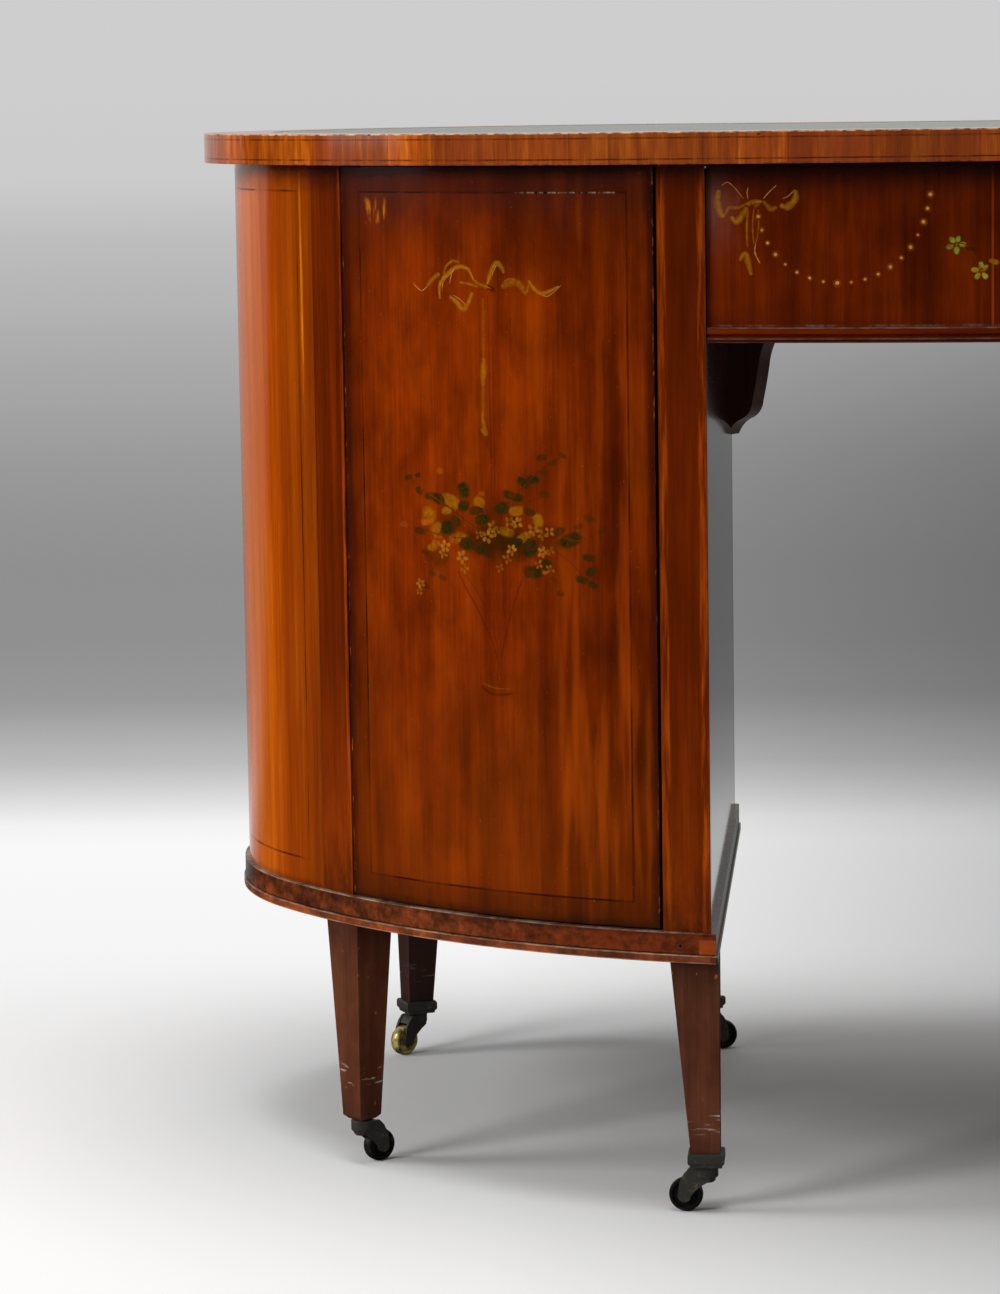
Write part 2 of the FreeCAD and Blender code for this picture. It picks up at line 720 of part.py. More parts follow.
def casterFork():
    # Built with the swivel on Z and the wheel trailing along +X
    top = casterHeight - bossGap
    low = top - bossHeight
    body = prism(bossSides, bossRadius, V(0, 0, low), V(0, 0, bossHeight))
    body = body.fuse(pin(stemRadius, V(0, 0, top), V(0, 0, stemLength + bossGap)))
    cheekOuter = wheelWidth / 2 + wheelGap + cheekThickness
    across = V(0, 2 * cheekOuter, 0)
    side = V(0, -cheekOuter, 0)
    axle = V(casterTrail, 0, wheelRadius)
    e = hornEyeRadius
    w = hornWidthShare
    points = [V(0, 0, top - bossGap), V(bossRadius * w, 0, top - bossGap), axle + V(e * w, 0, e * (1 - w)),
              axle - V(e * w, 0, e * (1 - w)), V(0, 0, low)]
    horn = polygon([point + side for point in points]).extrude(across)
    body = body.fuse(horn).fuse(prism(pinSides, e, axle + side, across))
    slotHalf = wheelWidth / 2 + wheelGap
    slotRadius = (wheelRadius + 2 * wheelGap) / math.cos(math.pi / wheelSides)
    body = body.cut(prism(wheelSides, slotRadius, axle - V(0, slotHalf, 0), V(0, 2 * slotHalf, 0)))
    return body.fuse(pin(axleRadius, axle + side, across)).removeSplitter()


def casterWheel():
    across = V(0, wheelWidth, 0)
    side = V(casterTrail, -wheelWidth / 2, wheelRadius)
    return prism(wheelSides, wheelRadius, side, across).cut(boreFor(axleRadius, axleFit, side, across))


def placeCaster(shape, seat, angle):
    shape = shape.copy()
    shape.rotate(V(0, 0, 0), V(0, 0, 1), angle)
    shape.translate(footCentre(seat))
    return shape


def save(name, shapes):
    shapes = shapes if isinstance(shapes, list) else [shapes]
    solids = [s for shape in shapes for s in shape.Solids]
    shape = solids[0] if len(solids) == 1 else Part.makeCompound(solids)
    shape.exportStep(os.path.join("parts", name + ".step"))


def savePedestal(side, flip):
    def put(name, shapes):
        shapes = shapes if isinstance(shapes, list) else [shapes]
        save(side + "_" + name, [flip(s) for s in shapes])
    put("plinth_moulding", plinth())
    put("base_board", baseBoard())
    put("end_panel", endPanel())
    put("kneehole_side", kneeholeSide())
    put("stiles", stiles())
    put("partition", partition())
    put("shelf", shelf())
    put("drawer_rails", drawerRails())
    put("door", door())
    for name in drawerHeightShares:
        front, carcass = pedestalDrawer(name)
        put(name + "_drawer_front", front)
        put(name + "_drawer_box", carcass)
    seats = legSeats()
    bare = [bareLeg == (side, k + 1) for k in range(len(seats))]
    put("legs", [leg(seat, b) for seat, b in zip(seats, bare)])
    put("caster_cups", [cup(seat) for seat, b in zip(seats, bare) if not b])
    fork, wheel = casterFork(), casterWheel()
    for k, seat in enumerate(seats):
        angle = casterTrailAngles[side][k]
        put("caster_%d_fork" % (k + 1), placeCaster(fork, seat, angle))
        put("caster_%d_wheel" % (k + 1), placeCaster(wheel, seat, angle))


os.makedirs("parts", exist_ok=True)
board, band, leather = topPieces()
save("desk_top", board)
save("top_edge_banding", band)
save("leather_writing_surface", leather)
save("room_side_frieze", frontBand(-friezeSetback, -friezeSetback - friezeThickness,
                                   friezeUnderside + friezeMouldingHeight, topUnderside, friezeEndGap))
save("room_side_frieze_moulding", friezeMoulding())
save("sitter_side_rails", sitterRails())
save("frieze_drawer_runners", friezeRunners())
frontPieces, boxPieces = friezeDrawer()
save("frieze_drawer_front", frontPieces)
save("frieze_drawer_box", boxPieces)
save("kneehole_brackets", [bracket(), mirrored(bracket())])
savePedestal("left", lambda shape: shape)
savePedestal("right", mirrored)
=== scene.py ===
import json
import math
import random
import bpy
import bmesh
from mathutils import Matrix, Vector


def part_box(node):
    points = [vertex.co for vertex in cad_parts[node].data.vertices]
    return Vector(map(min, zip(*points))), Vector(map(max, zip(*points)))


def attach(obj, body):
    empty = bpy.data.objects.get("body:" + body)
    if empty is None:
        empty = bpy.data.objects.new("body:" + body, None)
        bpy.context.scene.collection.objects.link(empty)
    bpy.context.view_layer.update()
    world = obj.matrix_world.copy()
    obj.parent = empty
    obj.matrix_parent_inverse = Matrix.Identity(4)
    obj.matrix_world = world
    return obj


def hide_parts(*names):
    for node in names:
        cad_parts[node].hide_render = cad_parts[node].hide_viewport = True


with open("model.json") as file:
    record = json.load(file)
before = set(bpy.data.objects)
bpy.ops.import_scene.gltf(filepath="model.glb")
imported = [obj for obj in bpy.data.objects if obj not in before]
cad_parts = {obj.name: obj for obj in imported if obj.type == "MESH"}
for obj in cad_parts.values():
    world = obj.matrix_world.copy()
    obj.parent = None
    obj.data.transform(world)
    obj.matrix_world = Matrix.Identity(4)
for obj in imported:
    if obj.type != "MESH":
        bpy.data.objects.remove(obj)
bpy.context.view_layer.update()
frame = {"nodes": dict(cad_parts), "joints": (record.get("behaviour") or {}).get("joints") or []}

nodes = frame["nodes"]
joints = {joint["name"]: joint for joint in frame["joints"]}
sides = {"left": -1, "right": 1}
drawerNames = ("upper", "middle", "lower")

# Plan of a pedestal: a shallow bow that turns into a round lobe; angles from -Y, lengths in metres
plan = {
    "kneeHalf": 0.270,
    "bowRadius": 0.540,
    "bowStart": math.radians(11.64),
    "bowTurn": math.radians(53.8),
    "lobeRadius": 0.2396,
    "overhang": 0.0228,
    "friezeSetback": 0.004,
    "leatherBorder": 0.052,
}


def boxOf(name):
    low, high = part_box(name)
    return Vector(low), Vector(high)


def outward(angle):
    return Vector((-math.sin(angle), -math.cos(angle), 0))


# The near corner of the kneehole lies where the frieze's bow meets the pedestal's
frontRadius = plan["kneeHalf"] / math.sin(plan["bowStart"])
lobeFromBow = outward(plan["bowTurn"]) * (plan["bowRadius"] - plan["lobeRadius"])
bowFromCorner = outward(plan["bowStart"]) * (-plan["bowRadius"])
crown = (bowFromCorner + lobeFromBow).y + plan["lobeRadius"] + plan["overhang"]
front = frontRadius * (math.cos(plan["bowStart"]) - 1) - plan["overhang"]
corner = Vector((-plan["kneeHalf"], -(crown + front) / 2, 0))
bowCentre = corner + bowFromCorner
lobeCentre = bowCentre + lobeFromBow
frontCentre = corner - outward(plan["bowStart"]) * frontRadius
bowLength = plan["bowRadius"] * (plan["bowTurn"] - plan["bowStart"])
farReach = math.asin((corner.x - lobeCentre.x) / plan["lobeRadius"])
hollowRadius = plan["kneeHalf"] / math.sin(farReach)
hollowCentre = Vector((0, lobeCentre.y + (plan["lobeRadius"] + hollowRadius) * math.cos(farReach), 0))


def alongAt(degrees):
    # The distance along the outline at an angle from -Y
    angle = math.radians(degrees)
    if angle < plan["bowTurn"]:
        return plan["bowRadius"] * (angle - plan["bowStart"])
    return bowLength + plan["lobeRadius"] * (angle - plan["bowTurn"])


def pedestalSpot(along, proud):
    # The place at a distance along the left pedestal's curve and out from it
    if along < bowLength:
        return bowCentre + outward(plan["bowStart"] + along / plan["bowRadius"]) * (plan["bowRadius"] + proud)
    way = outward(plan["bowTurn"] + (along - bowLength) / plan["lobeRadius"])
    return lobeCentre + way * (plan["lobeRadius"] + proud)


def friezeSpot(x, proud):
    # The place on the frieze's face at a distance from the middle and out from it
    reach = frontRadius - plan["friezeSetback"]
    return frontCentre + outward(math.asin(-x / reach)) * (reach + proud)


def tone(red, green, blue):
    # A colour written as it looks, made linear
    linear = []
    for value in (red, green, blue):
        value /= 255
        linear.append(value / 12.92 if value <= 0.04045 else ((value + 0.055) / 1.055) ** 2.4)
    return (*linear, 1.0)


# Node shorthands; each adds its nodes to the tree that workIn was last given
tree = None


def workIn(newTree):
    global tree
    tree = newTree
    return tree


def feed(socket, value):
    # Link a socket, a field or a node's first output, or set a plain value
    if isinstance(value, bpy.types.Node):
        value = value.outputs[0]
    if isinstance(value, Field):
        value = value.socket
    if isinstance(value, bpy.types.NodeSocket):
        tree.links.new(value, socket)
    else:
        socket.default_value = value


def add(kind, inputs=None, **settings):
    node = tree.nodes.new(kind)
    for key, value in settings.items():
        setattr(node, key, value)
    for key, value in (inputs or {}).items():
        feed(node.inputs[key], value)
    return node


class Field:
    # A value at each point, as a node's output; arithmetic on it adds maths nodes
    def __init__(self, node, output=0):
        self.socket = node.outputs[output]

    def __add__(self, other):
        return calc("ADD", self, other)

    def __sub__(self, other):
        return calc("SUBTRACT", self, other)

    def __rsub__(self, other):
        return calc("SUBTRACT", other, self)

    def __mul__(self, other):
        return calc("MULTIPLY", self, other)

    def __truediv__(self, other):
        return calc("DIVIDE", self, other)

    def __lt__(self, other):
        return calc("LESS_THAN", self, other)

    def __gt__(self, other):
        return calc("GREATER_THAN", self, other)

    def __abs__(self):
        return calc("ABSOLUTE", self)


def calc(operation, *values):
    return Field(add("ShaderNodeMath", dict(enumerate(values)), operation=operation))


def highest(first, second):
    return calc("MAXIMUM", first, second)


def lowest(first, second):
    return calc("MINIMUM", first, second)


def distance(across, up):
    return calc("SQRT", across * across + up * up)


def blend(share, first, second):
    return Field(add("ShaderNodeMix", {0: share, 6: first, 7: second}, data_type="RGBA"), 2)


def dim(colour, factor):
    return Field(add("ShaderNodeVectorMath", {0: colour, "Scale": factor}, operation="SCALE"))


def spread(value, low, high, toLow=0.0, toHigh=1.0, smooth=False):
    kind = "SMOOTHSTEP" if smooth else "LINEAR"
    return Field(add("ShaderNodeMapRange", {0: value, 1: low, 2: high, 3: toLow, 4: toHigh}, interpolation_type=kind))


def ramp(value, stops):
    node = add("ShaderNodeValToRGB", {0: value})
    band = node.color_ramp
    while len(band.elements) < len(stops):
        band.elements.new(0.5)
    for element, (place, colour) in zip(band.elements, stops):
        element.position = place
        element.color = colour if isinstance(colour, tuple) else (colour, colour, colour, 1)
    return Field(node)


def noise(where, size, detail, rough, seed):
    # Noise whose features are about size = (x, y, z) metres apart
    shift, scale = (seed, seed * 0.7, seed * 1.3), [1 / part for part in size]
    scaled = add("ShaderNodeMapping", {0: where, 1: shift, 3: scale})
    return Field(add("ShaderNodeTexNoise", {0: scaled, 2: 1.0, 3: detail, 4: rough}))


def grain(across, up, seed, detail=3.0, rough=0.6):
    # Noise over the piece, with features this many metres apart across it and up it
    return noise(position(), (across, across, up), detail, rough, seed)


def position():
    return Field(add("ShaderNodeTexCoord"), "Object")


def parts(vector):
    node = add("ShaderNodeSeparateXYZ", {0: vector})
    return [Field(node, k) for k in range(3)]


def joined(x, y, z):
    return Field(add("ShaderNodeCombineXYZ", {0: x, 1: y, 2: z}))


def near(value, place, half, soft):
    # 1 within half of a place, fading to 0 over soft
    return spread(abs(value - place), half, half + soft, 1.0, 0.0, smooth=True)


def within(value, low, high, soft):
    return near(value, (low + high) / 2, (high - low) / 2, soft)


def planGroup():
    # Distance along the desk's outline from the kneehole corner and outwards from it, the same on both halves
    group = workIn(bpy.data.node_groups.new("outlineDistance", "ShaderNodeTree"))
    for name in ("Along", "Proud"):
        group.interface.new_socket(name, in_out="OUTPUT", socket_type="NodeSocketFloat")
    x, y = parts(position())[:2]
    ax = abs(x)

    def seenFrom(centre):
        across = ax + centre.x
        back = centre.y - y
        return calc("ARCTAN2", across, back), distance(across, back)

    def either(test, no, yes):
        return Field(add("ShaderNodeMix", {0: test, 2: no, 3: yes}, data_type="FLOAT"))

    bow, bowReach = seenFrom(bowCentre)
    lobe, lobeReach = seenFrom(lobeCentre)
    lobe = (lobe < -math.pi / 2) * (2 * math.pi) + lobe
    isLobe = lobe > plan["bowTurn"]
    onBow = (bow - plan["bowStart"]) * plan["bowRadius"]
    onLobe = (lobe - plan["bowTurn"]) * plan["lobeRadius"] + bowLength
    nearProud = either(bow < plan["bowStart"], bowReach - plan["bowRadius"], seenFrom(frontCentre)[1] - frontRadius)
    hollowProud = hollowRadius - seenFrom(hollowCentre)[1]
    farProud = either(lobe > math.pi + farReach, lobeReach - plan["lobeRadius"], hollowProud)
    add("NodeGroupOutput", {0: either(isLobe, onBow, onLobe), 1: either(isLobe, nearProud, farProud)})
    return group


outlineDistance = planGroup()


def outlineOf():
    node = add("ShaderNodeGroup", node_tree=outlineDistance)
    return Field(node, 0), Field(node, 1)


# Veneers: colours as they look, sizes of the figure in metres (across the grain, along it)
satinwoodLight = {
    "dark": tone(112, 36, 2), "mid": tone(160, 66, 4), "light": tone(198, 98, 12),
    "band": (0.009, 0.5), "fine": (0.0020, 0.07), "cloud": 0.10, "contrast": 0.66, "streak": 0.18, "seed": 3.1,
}
satinwoodDeep = {
    "dark": tone(78, 22, 1), "mid": tone(122, 40, 1), "light": tone(150, 58, 3),
    "band": (0.014, 0.5), "fine": (0.0022, 0.06), "cloud": 0.06, "contrast": 0.72, "streak": 0.12, "seed": 7.7,
}
stileWood = {
    "dark": tone(52, 16, 1), "mid": tone(90, 28, 1), "light": tone(122, 43, 3),
    "band": (0.009, 0.4), "fine": (0.0022, 0.07), "cloud": 0.08, "contrast": 0.7, "streak": 0.15, "seed": 16.4,
}
bandingWood = {
    "dark": tone(104, 42, 6), "mid": tone(160, 72, 12), "light": tone(208, 112, 26),
    "band": (0.006, 0.05), "fine": (0.0016, 0.03), "cloud": 0.05, "contrast": 0.9, "streak": 0.25, "seed": 28.2,
}
friezeWood = {
    "dark": tone(54, 14, 1), "mid": tone(88, 26, 1), "light": tone(116, 40, 3),
    "band": (0.010, 0.22), "fine": (0.0022, 0.05), "cloud": 0.05, "contrast": 0.66, "streak": 0.12, "seed": 12.3,
}
plinthWood = {
    "dark": tone(44, 20, 11), "mid": tone(80, 37, 18), "light": tone(122, 55, 20),
    "band": (0.03, 0.016), "fine": (0.006, 0.004), "cloud": 0.06, "contrast": 1.0, "streak": 0.15, "seed": 41.7,
}
legWood = {
    "dark": tone(70, 36, 22), "mid": tone(92, 50, 32), "light": tone(110, 62, 42),
    "band": (0.010, 0.3), "fine": (0.0025, 0.07), "cloud": 0.07, "contrast": 0.8, "streak": 0.2, "seed": 21.0,
}
kneeWood = {
    "dark": tone(46, 26, 18), "mid": tone(66, 38, 26), "light": tone(86, 52, 36),
    "band": (0.014, 0.5), "fine": (0.003, 0.12), "cloud": 0.1, "contrast": 0.8, "streak": 0.2, "seed": 36.0,
}
bracketLook = {**kneeWood, "dark": tone(48, 29, 21), "mid": tone(70, 43, 32), "light": tone(90, 58, 44)}
underWood = {
    "dark": tone(34, 28, 25), "mid": tone(50, 42, 37), "light": tone(64, 54, 47),
    "band": (0.018, 0.4), "fine": (0.004, 0.09), "cloud": 0.12, "contrast": 0.9, "streak": 0.2, "seed": 45.0,
}
innerWood = {
    **underWood, "dark": tone(112, 76, 46), "mid": tone(146, 102, 64), "light": tone(170, 126, 84), "seed": 33.0,
}


def veneer(look, where, along="z"):
    # The figure of a veneer that runs along an axis: its colour and a height for the bump
    def figure(size, detail, rough, step):
        narrow, far = size
        return noise(where, [far if axis == along else narrow for axis in "xyz"], detail, rough, look["seed"] + step)

    band = figure(look["band"], 3.0, 0.55, 0)
    fine = figure(look["fine"], 3.0, 0.6, 5)
    cloud = figure((look["cloud"] * 0.5, look["cloud"] * 2), 2.0, 0.5, 9)
    pore = figure((0.0007, 0.014), 2.0, 0.5, 13)
    line = figure((0.0016, 0.35), 2.0, 0.5, 17)
    total = band * 0.42 + fine * 0.26 + cloud * 0.32
    reach = 0.15 / look["contrast"]
    share = spread(total, 0.5 - reach, 0.5 + reach)
    colour = ramp(share, ((0.0, look["dark"]), (0.5, look["mid"]), (1.0, look["light"])))
    marks = highest(spread(pore, 0.55, 0.72, 0.0, 0.22), spread(line, 0.60, 0.72, 0.0, look["streak"]))
    return blend(marks, colour, look["dark"]), fine * 0.3 - pore * 0.5


class Coat:
    # A veneer that takes layers of colour; x, y and z are metres, along and proud follow the outline
    def __init__(self, look, grainAxis="z", where=None):
        self.x, self.y, self.z = parts(position())
        self.along, self.proud = outlineOf()
        self.colour, self.height = veneer(look, where or position(), grainAxis)

    def tint(self, mask, colour):
        self.colour = blend(mask, self.colour, colour)

    def dim(self, factor):
        self.colour = dim(self.colour, factor)


def polish(name, rough=0.42, coat=0.9, coatRough=0.08, specular=0.0, metal=0.0):
    # A material with a clear coat; finished gives it its colour
    material = bpy.data.materials.new(name)
    material.use_nodes = True
    workIn(material.node_tree).nodes.clear()
    shader = add("ShaderNodeBsdfPrincipled", {"Roughness": rough, "Metallic": metal, "Coat Weight": coat,
                                              "Coat Roughness": coatRough, "Specular IOR Level": specular})
    add("ShaderNodeOutputMaterial", {0: shader})
    return material, shader


def finished(shader, colour, height, strength=0.25, depth=0.0004):
    feed(shader.inputs["Base Color"], colour)
    feed(shader.inputs["Normal"], add("ShaderNodeBump", {"Strength": strength, "Distance": depth, "Height": height}))


def insetOf(along, z, span, low, high):
    # Distance in from the nearest edge of a panel
    return lowest(lowest(along - span[0], span[1] - along), lowest(z - low, high - z))


print("materials: veneers of the case")
caseLow, caseHigh = (end.z for end in boxOf("left_end_panel"))
topHigh = boxOf("desk_top")[1].z
doorSpan = (alongAt(15.61), alongAt(44.23))
panelSpan = (alongAt(48.2), alongAt(132.5))
stringInset = 0.0195
darkString = tone(34, 11, 3)
# dark sooty colour, also used for the painted shade under the top
sootAndShade = tone(26, 12, 9)
paleWear = tone(205, 180, 155)


def borderLines(coat, edge, lineColour, strength=0.8, inset=stringInset, least=0.2):
    # The border of a veneered panel: a dark string, worn away in places
    worn = grain(0.03, 0.05, 40, 2, 0.5)
    coat.tint(near(edge, inset, 0.0005, 0.0005) * spread(worn, 0.38, 0.58, least, strength), lineColour)


def grimyEdge(coat, edge, amount, reach=0.009):
    dirt = grain(0.012, 0.04, 51, 4)
    coat.tint(spread(dirt * reach + edge, reach * 0.45, reach * 1.5, amount, 0.0, smooth=True), sootAndShade)


def underTopShade(coat, reach, amount):
    # Painted shade under the top's overhang: the face darkens just below it
    cloud = grain(0.05, 0.02, 57)
    low = cloud * (reach * 0.9) + (caseHigh - coat.z)
    coat.tint(spread(low, reach * 0.35, reach * 1.7, amount, 0.0, smooth=True), sootAndShade)


doorLook = {
    "acrossFigure": ((0.0, 0.72), (0.06, 0.82), (0.13, 0.58), (0.3, 0.84), (0.68, 1.12), (0.86, 0.86), (1.0, 0.58)),
    # brightness up the door: painted shade under the top's overhang, and darker towards the foot
    "downShade": ((0.0, 0.72), (0.2, 0.78), (0.45, 0.95), (0.82, 1.0), (0.92, 0.72), (1.0, 0.42)),
    "purple": tone(60, 26, 22),
    "scratch": (0.066, 0.140, 0.7205),
    "flecks": (0.262, 0.280, 0.701, 0.714),
    "basketAlong": 0.1675, "basketHeight": 0.476,
    # behind the flowers: millimetres right and up, half sizes and strength
    "blooms": ((8, -2, 42, 19, 0.88), (-46, -15, 15, 11, 0.5), (-42, 10, 22, 14, 0.35), (44, 4, 26, 14, 0.4),
               (10, 20, 26, 10, 0.35)),
}


def doorColour():
    coat = Coat(satinwoodDeep)
    z, along = coat.z, coat.along
    wander = grain(0.02, 0.5, 61)
    share = spread(wander * 0.06 + along, doorSpan[0] + 0.03, doorSpan[1] + 0.03)
    coat.dim(ramp(share, doorLook["acrossFigure"]))
    # painted shade: darker under the top and towards the foot
    coat.dim(ramp(spread(z, caseLow, caseHigh), doorLook["downShade"]))
    # smoky patches in the old varnish
    smoke = grain(0.035, 0.06, 65)
    coat.dim(spread(smoke, 0.34, 0.62, 0.66, 1.14))
    # glowing orange streaks towards the kneehole side
    glow = grain(0.01, 0.12, 67, 2, 0.5)
    amber = spread(glow, 0.48, 0.68, 0.0, 0.40) * within(along, doorSpan[0], 0.10, 0.05)
    coat.tint(amber * spread(z, 0.30, 0.62, 1.0, 0.45), tone(178, 72, 4))
    # golden brown towards the foot, with dirt above the plinth
    foot = spread(z, 0.42, 0.26, 0.0, 0.24, smooth=True) * spread(glow, 0.36, 0.60, 0.5, 1.0)
    coat.tint(foot, tone(152, 68, 5))
    coat.tint(spread(z, caseLow + 0.035, caseLow, 0.0, 0.5, smooth=True), tone(56, 26, 8))
    # purple and cloudy, darker along the top
    haze = grain(0.03, 0.02, 71, 4, 0.65)
    low = haze * 0.055 + (caseHigh - z)
    coat.tint(spread(low, 0.03, 0.085, 0.55, 0.0, smooth=True), doorLook["purple"])
    edge = insetOf(along, z, doorSpan, caseLow, caseHigh)
    coat.dim(spread(edge, stringInset - 0.0003, stringInset + 0.0003, 0.82, 1.0))
    borderLines(coat, edge, darkString)
    grimyEdge(coat, edge, 0.6)
    # 1 on the face itself, 0 on the edges and the back
    front = spread(coat.proud, -0.0022, -0.0008)
    # a dark green bloom behind the painted flowers
    bloom = None
    drift = grain(0.01, 0.01, 89) * 0.9 - 0.45
    for right, up, wide, tall, amount in doorLook["blooms"]:
        across = (along - (doorLook["basketAlong"] - right / 1000)) / (wide / 1000)
        above = (z - (doorLook["basketHeight"] + up / 1000)) / (tall / 1000)
        reach = distance(across, above)
        cloud = spread(reach + drift, 0.25, 1.05, amount, 0.0, smooth=True)
        bloom = cloud if bloom is None else highest(bloom, cloud)
    coat.tint(bloom * front, tone(44, 24, 2))
    # pale flecks at the top left and a long scratch at the top right
    low, high, zLow, zHigh = doorLook["flecks"]
    chips = grain(0.004, 0.016, 77, 2, 0.5)
    patch = within(along, low, high, 0.004) * within(z, zLow, zHigh, 0.004) * front
    coat.tint(patch * spread(chips, 0.48, 0.66, 0.0, 0.65), tone(196, 116, 20))
    low, high, place = doorLook["scratch"]
    gaps = grain(0.003, 0.02, 83)
    scratch = within(along, low, high, 0.004) * near(z, place, 0.0002, 0.0006) * front
    coat.tint(scratch * spread(gaps, 0.44, 0.60, 0.0, 0.30), paleWear)
    specks = grain(0.0015, 0.0022, 87, 1, 0.5)
    coat.tint(spread(specks, 0.765, 0.79, 0.0, 0.35), tone(176, 104, 40))
    # edges worn to a pale orange beside the gaps
    fray = grain(0.002, 0.012, 91)
    sideEdge = lowest(along - doorSpan[0], doorSpan[1] - along)
    bare = spread(sideEdge, 0.0004, 0.0012, 1.0, 0.0) * spread(fray, 0.56, 0.66, 0.0, 0.7) * front
    coat.tint(bare, tone(186, 96, 30))
    # painted shade under the top's overhang
    underTopShade(coat, 0.010, 0.9)
    return coat


def panelColour():
    coat = Coat(satinwoodLight)
    z, along = coat.z, coat.along
    # painted light: the panel brightens as it turns towards the lamps on the left, with a painted highlight on its
    # limb
    turningLight = ((0.0, 0.60), (0.18, 0.66), (0.38, 0.84), (0.62, 1.05), (0.8, 1.2), (1.0, 1.3))
    coat.dim(ramp(spread(along, panelSpan[0], panelSpan[0] + 0.12), turningLight))
    limbHighlight = within(along, panelSpan[0] + 0.105, panelSpan[0] + 0.17, 0.045)
    coat.tint(limbHighlight * 0.42, tone(200, 106, 22))
    wander = grain(0.006, 0.06, 95)
    glow = near(wander * 0.003 + along, panelSpan[0] + 0.016, 0.0006, 0.0016)
    coat.tint(glow * within(z, 0.60, 0.70, 0.05) * spread(wander, 0.4, 0.6, 0.15, 0.75), tone(222, 132, 12))
    edge = insetOf(along, z, panelSpan, caseLow, caseHigh)
    borderLines(coat, edge, tone(70, 26, 5), 0.9)
    grimyEdge(coat, edge, 0.35, 0.006)
    # painted shade under the top's overhang
    underTopShade(coat, 0.02, 0.85)
    return coat


def stileColour():
    coat = Coat(stileWood)
    z, along = coat.z, coat.along
    # lighter lines beside each edge, worn in places
    bright = None
    fray = grain(0.003, 0.05, 99)
    for place, half in ((0.0006, 0.0006), (0.0315, 0.0018), (alongAt(44.49) + 0.0012, 0.001), (0.004, 0.0012)):
        line = near(along, place, half, 0.0018)
        bright = line if bright is None else highest(bright, line)
    coat.tint(bright * spread(fray, 0.42, 0.64, 0.0, 0.6), tone(170, 72, 10))
    coat.tint(spread(abs(coat.x), 0.2702, 0.2708, 0.85, 0.0), tone(64, 36, 24))
    coat.dim(spread(z, caseLow, 0.45, 1.4, 1.0))
    mottle = grain(0.012, 0.03, 97, 4, 0.65)
    coat.tint(spread(z, 0.38, 0.25, 0.0, 0.3) * spread(mottle, 0.3, 0.7), tone(136, 62, 8))
    coat.tint(spread(z, caseLow + 0.045, caseLow, 0.0, 0.8) * spread(mottle, 0.36, 0.6, 1.0, 0.3), tone(48, 24, 10))
    # painted shade under the top's overhang
    underTopShade(coat, 0.02, 0.9)
    return coat


def friezeColour():
    coat = Coat(friezeWood)
    z, ax = coat.z, abs(coat.x)
    warm = grain(0.05, 0.06, 103)
    coat.dim(spread(warm, 0.35, 0.65, 0.8, 1.25))
    # a light string on each side of the middle tablet
    tablet = near(ax, 0.0745, 0.0004, 0.0008) * spread(warm, 0.3, 0.6, 0.35, 0.7)
    coat.tint(tablet, tone(150, 62, 12))
    # pale bloom and dust in the corner by the pedestal and along the moulding
    haze = grain(0.012, 0.012, 107, 4, 0.65)
    end = spread(haze * 0.03 + (0.27 - ax), 0.018, 0.04, 0.3, 0.0)
    high = spread(caseHigh - z, 0.02, 0.075, 1.0, 0.0, smooth=True)
    coat.tint(end * high, tone(120, 96, 92))
    low = boxOf("room_side_frieze")[0].z
    dust = near(z, low + 0.0005, 0.0003, 0.0012)
    coat.tint(dust * spread(haze, 0.45, 0.62, 0.05, 0.5), tone(128, 110, 100))
    # painted shadow: near black just under the top's overhang
    underTopShadow = spread(caseHigh - z, 0.0, 0.030, 0.93, 0.0, smooth=True)
    coat.tint(underTopShadow, tone(16, 9, 8))
    return coat


def mouldingColour():
    coat = Coat(friezeWood, "x")
    low, high = boxOf("room_side_frieze_moulding")
    share = spread(coat.z, low.z, high.z)
    # painted light and shade across the moulding's height: dark on its lower part, lighter above
    coat.dim(ramp(share, ((0.0, 0.35), (0.28, 0.45), (0.34, 0.85), (0.8, 1.05), (1.0, 0.9))))
    fray = grain(0.012, 0.003, 111)
    for place, amount in ((0.93, 0.45), (0.26, 0.25), (0.04, 0.2)):
        line = near(share, place, 0.02, 0.05) * spread(fray, 0.42, 0.6, 0.1, amount)
        coat.tint(line, tone(150, 128, 118))
    return coat


def segments(along, count, seed):
    # Unequal lengths of crossbanding: two random values for each, and how far the next joint is
    def cells(feature):
        inputs = {"W": along + seed, "Scale": count}
        return add("ShaderNodeTexVoronoi", inputs, voronoi_dimensions="1D", feature=feature)

    first, second = parts(Field(cells("F1"), "Color"))[:2]
    return first, second, Field(cells("DISTANCE_TO_EDGE"), "Distance")


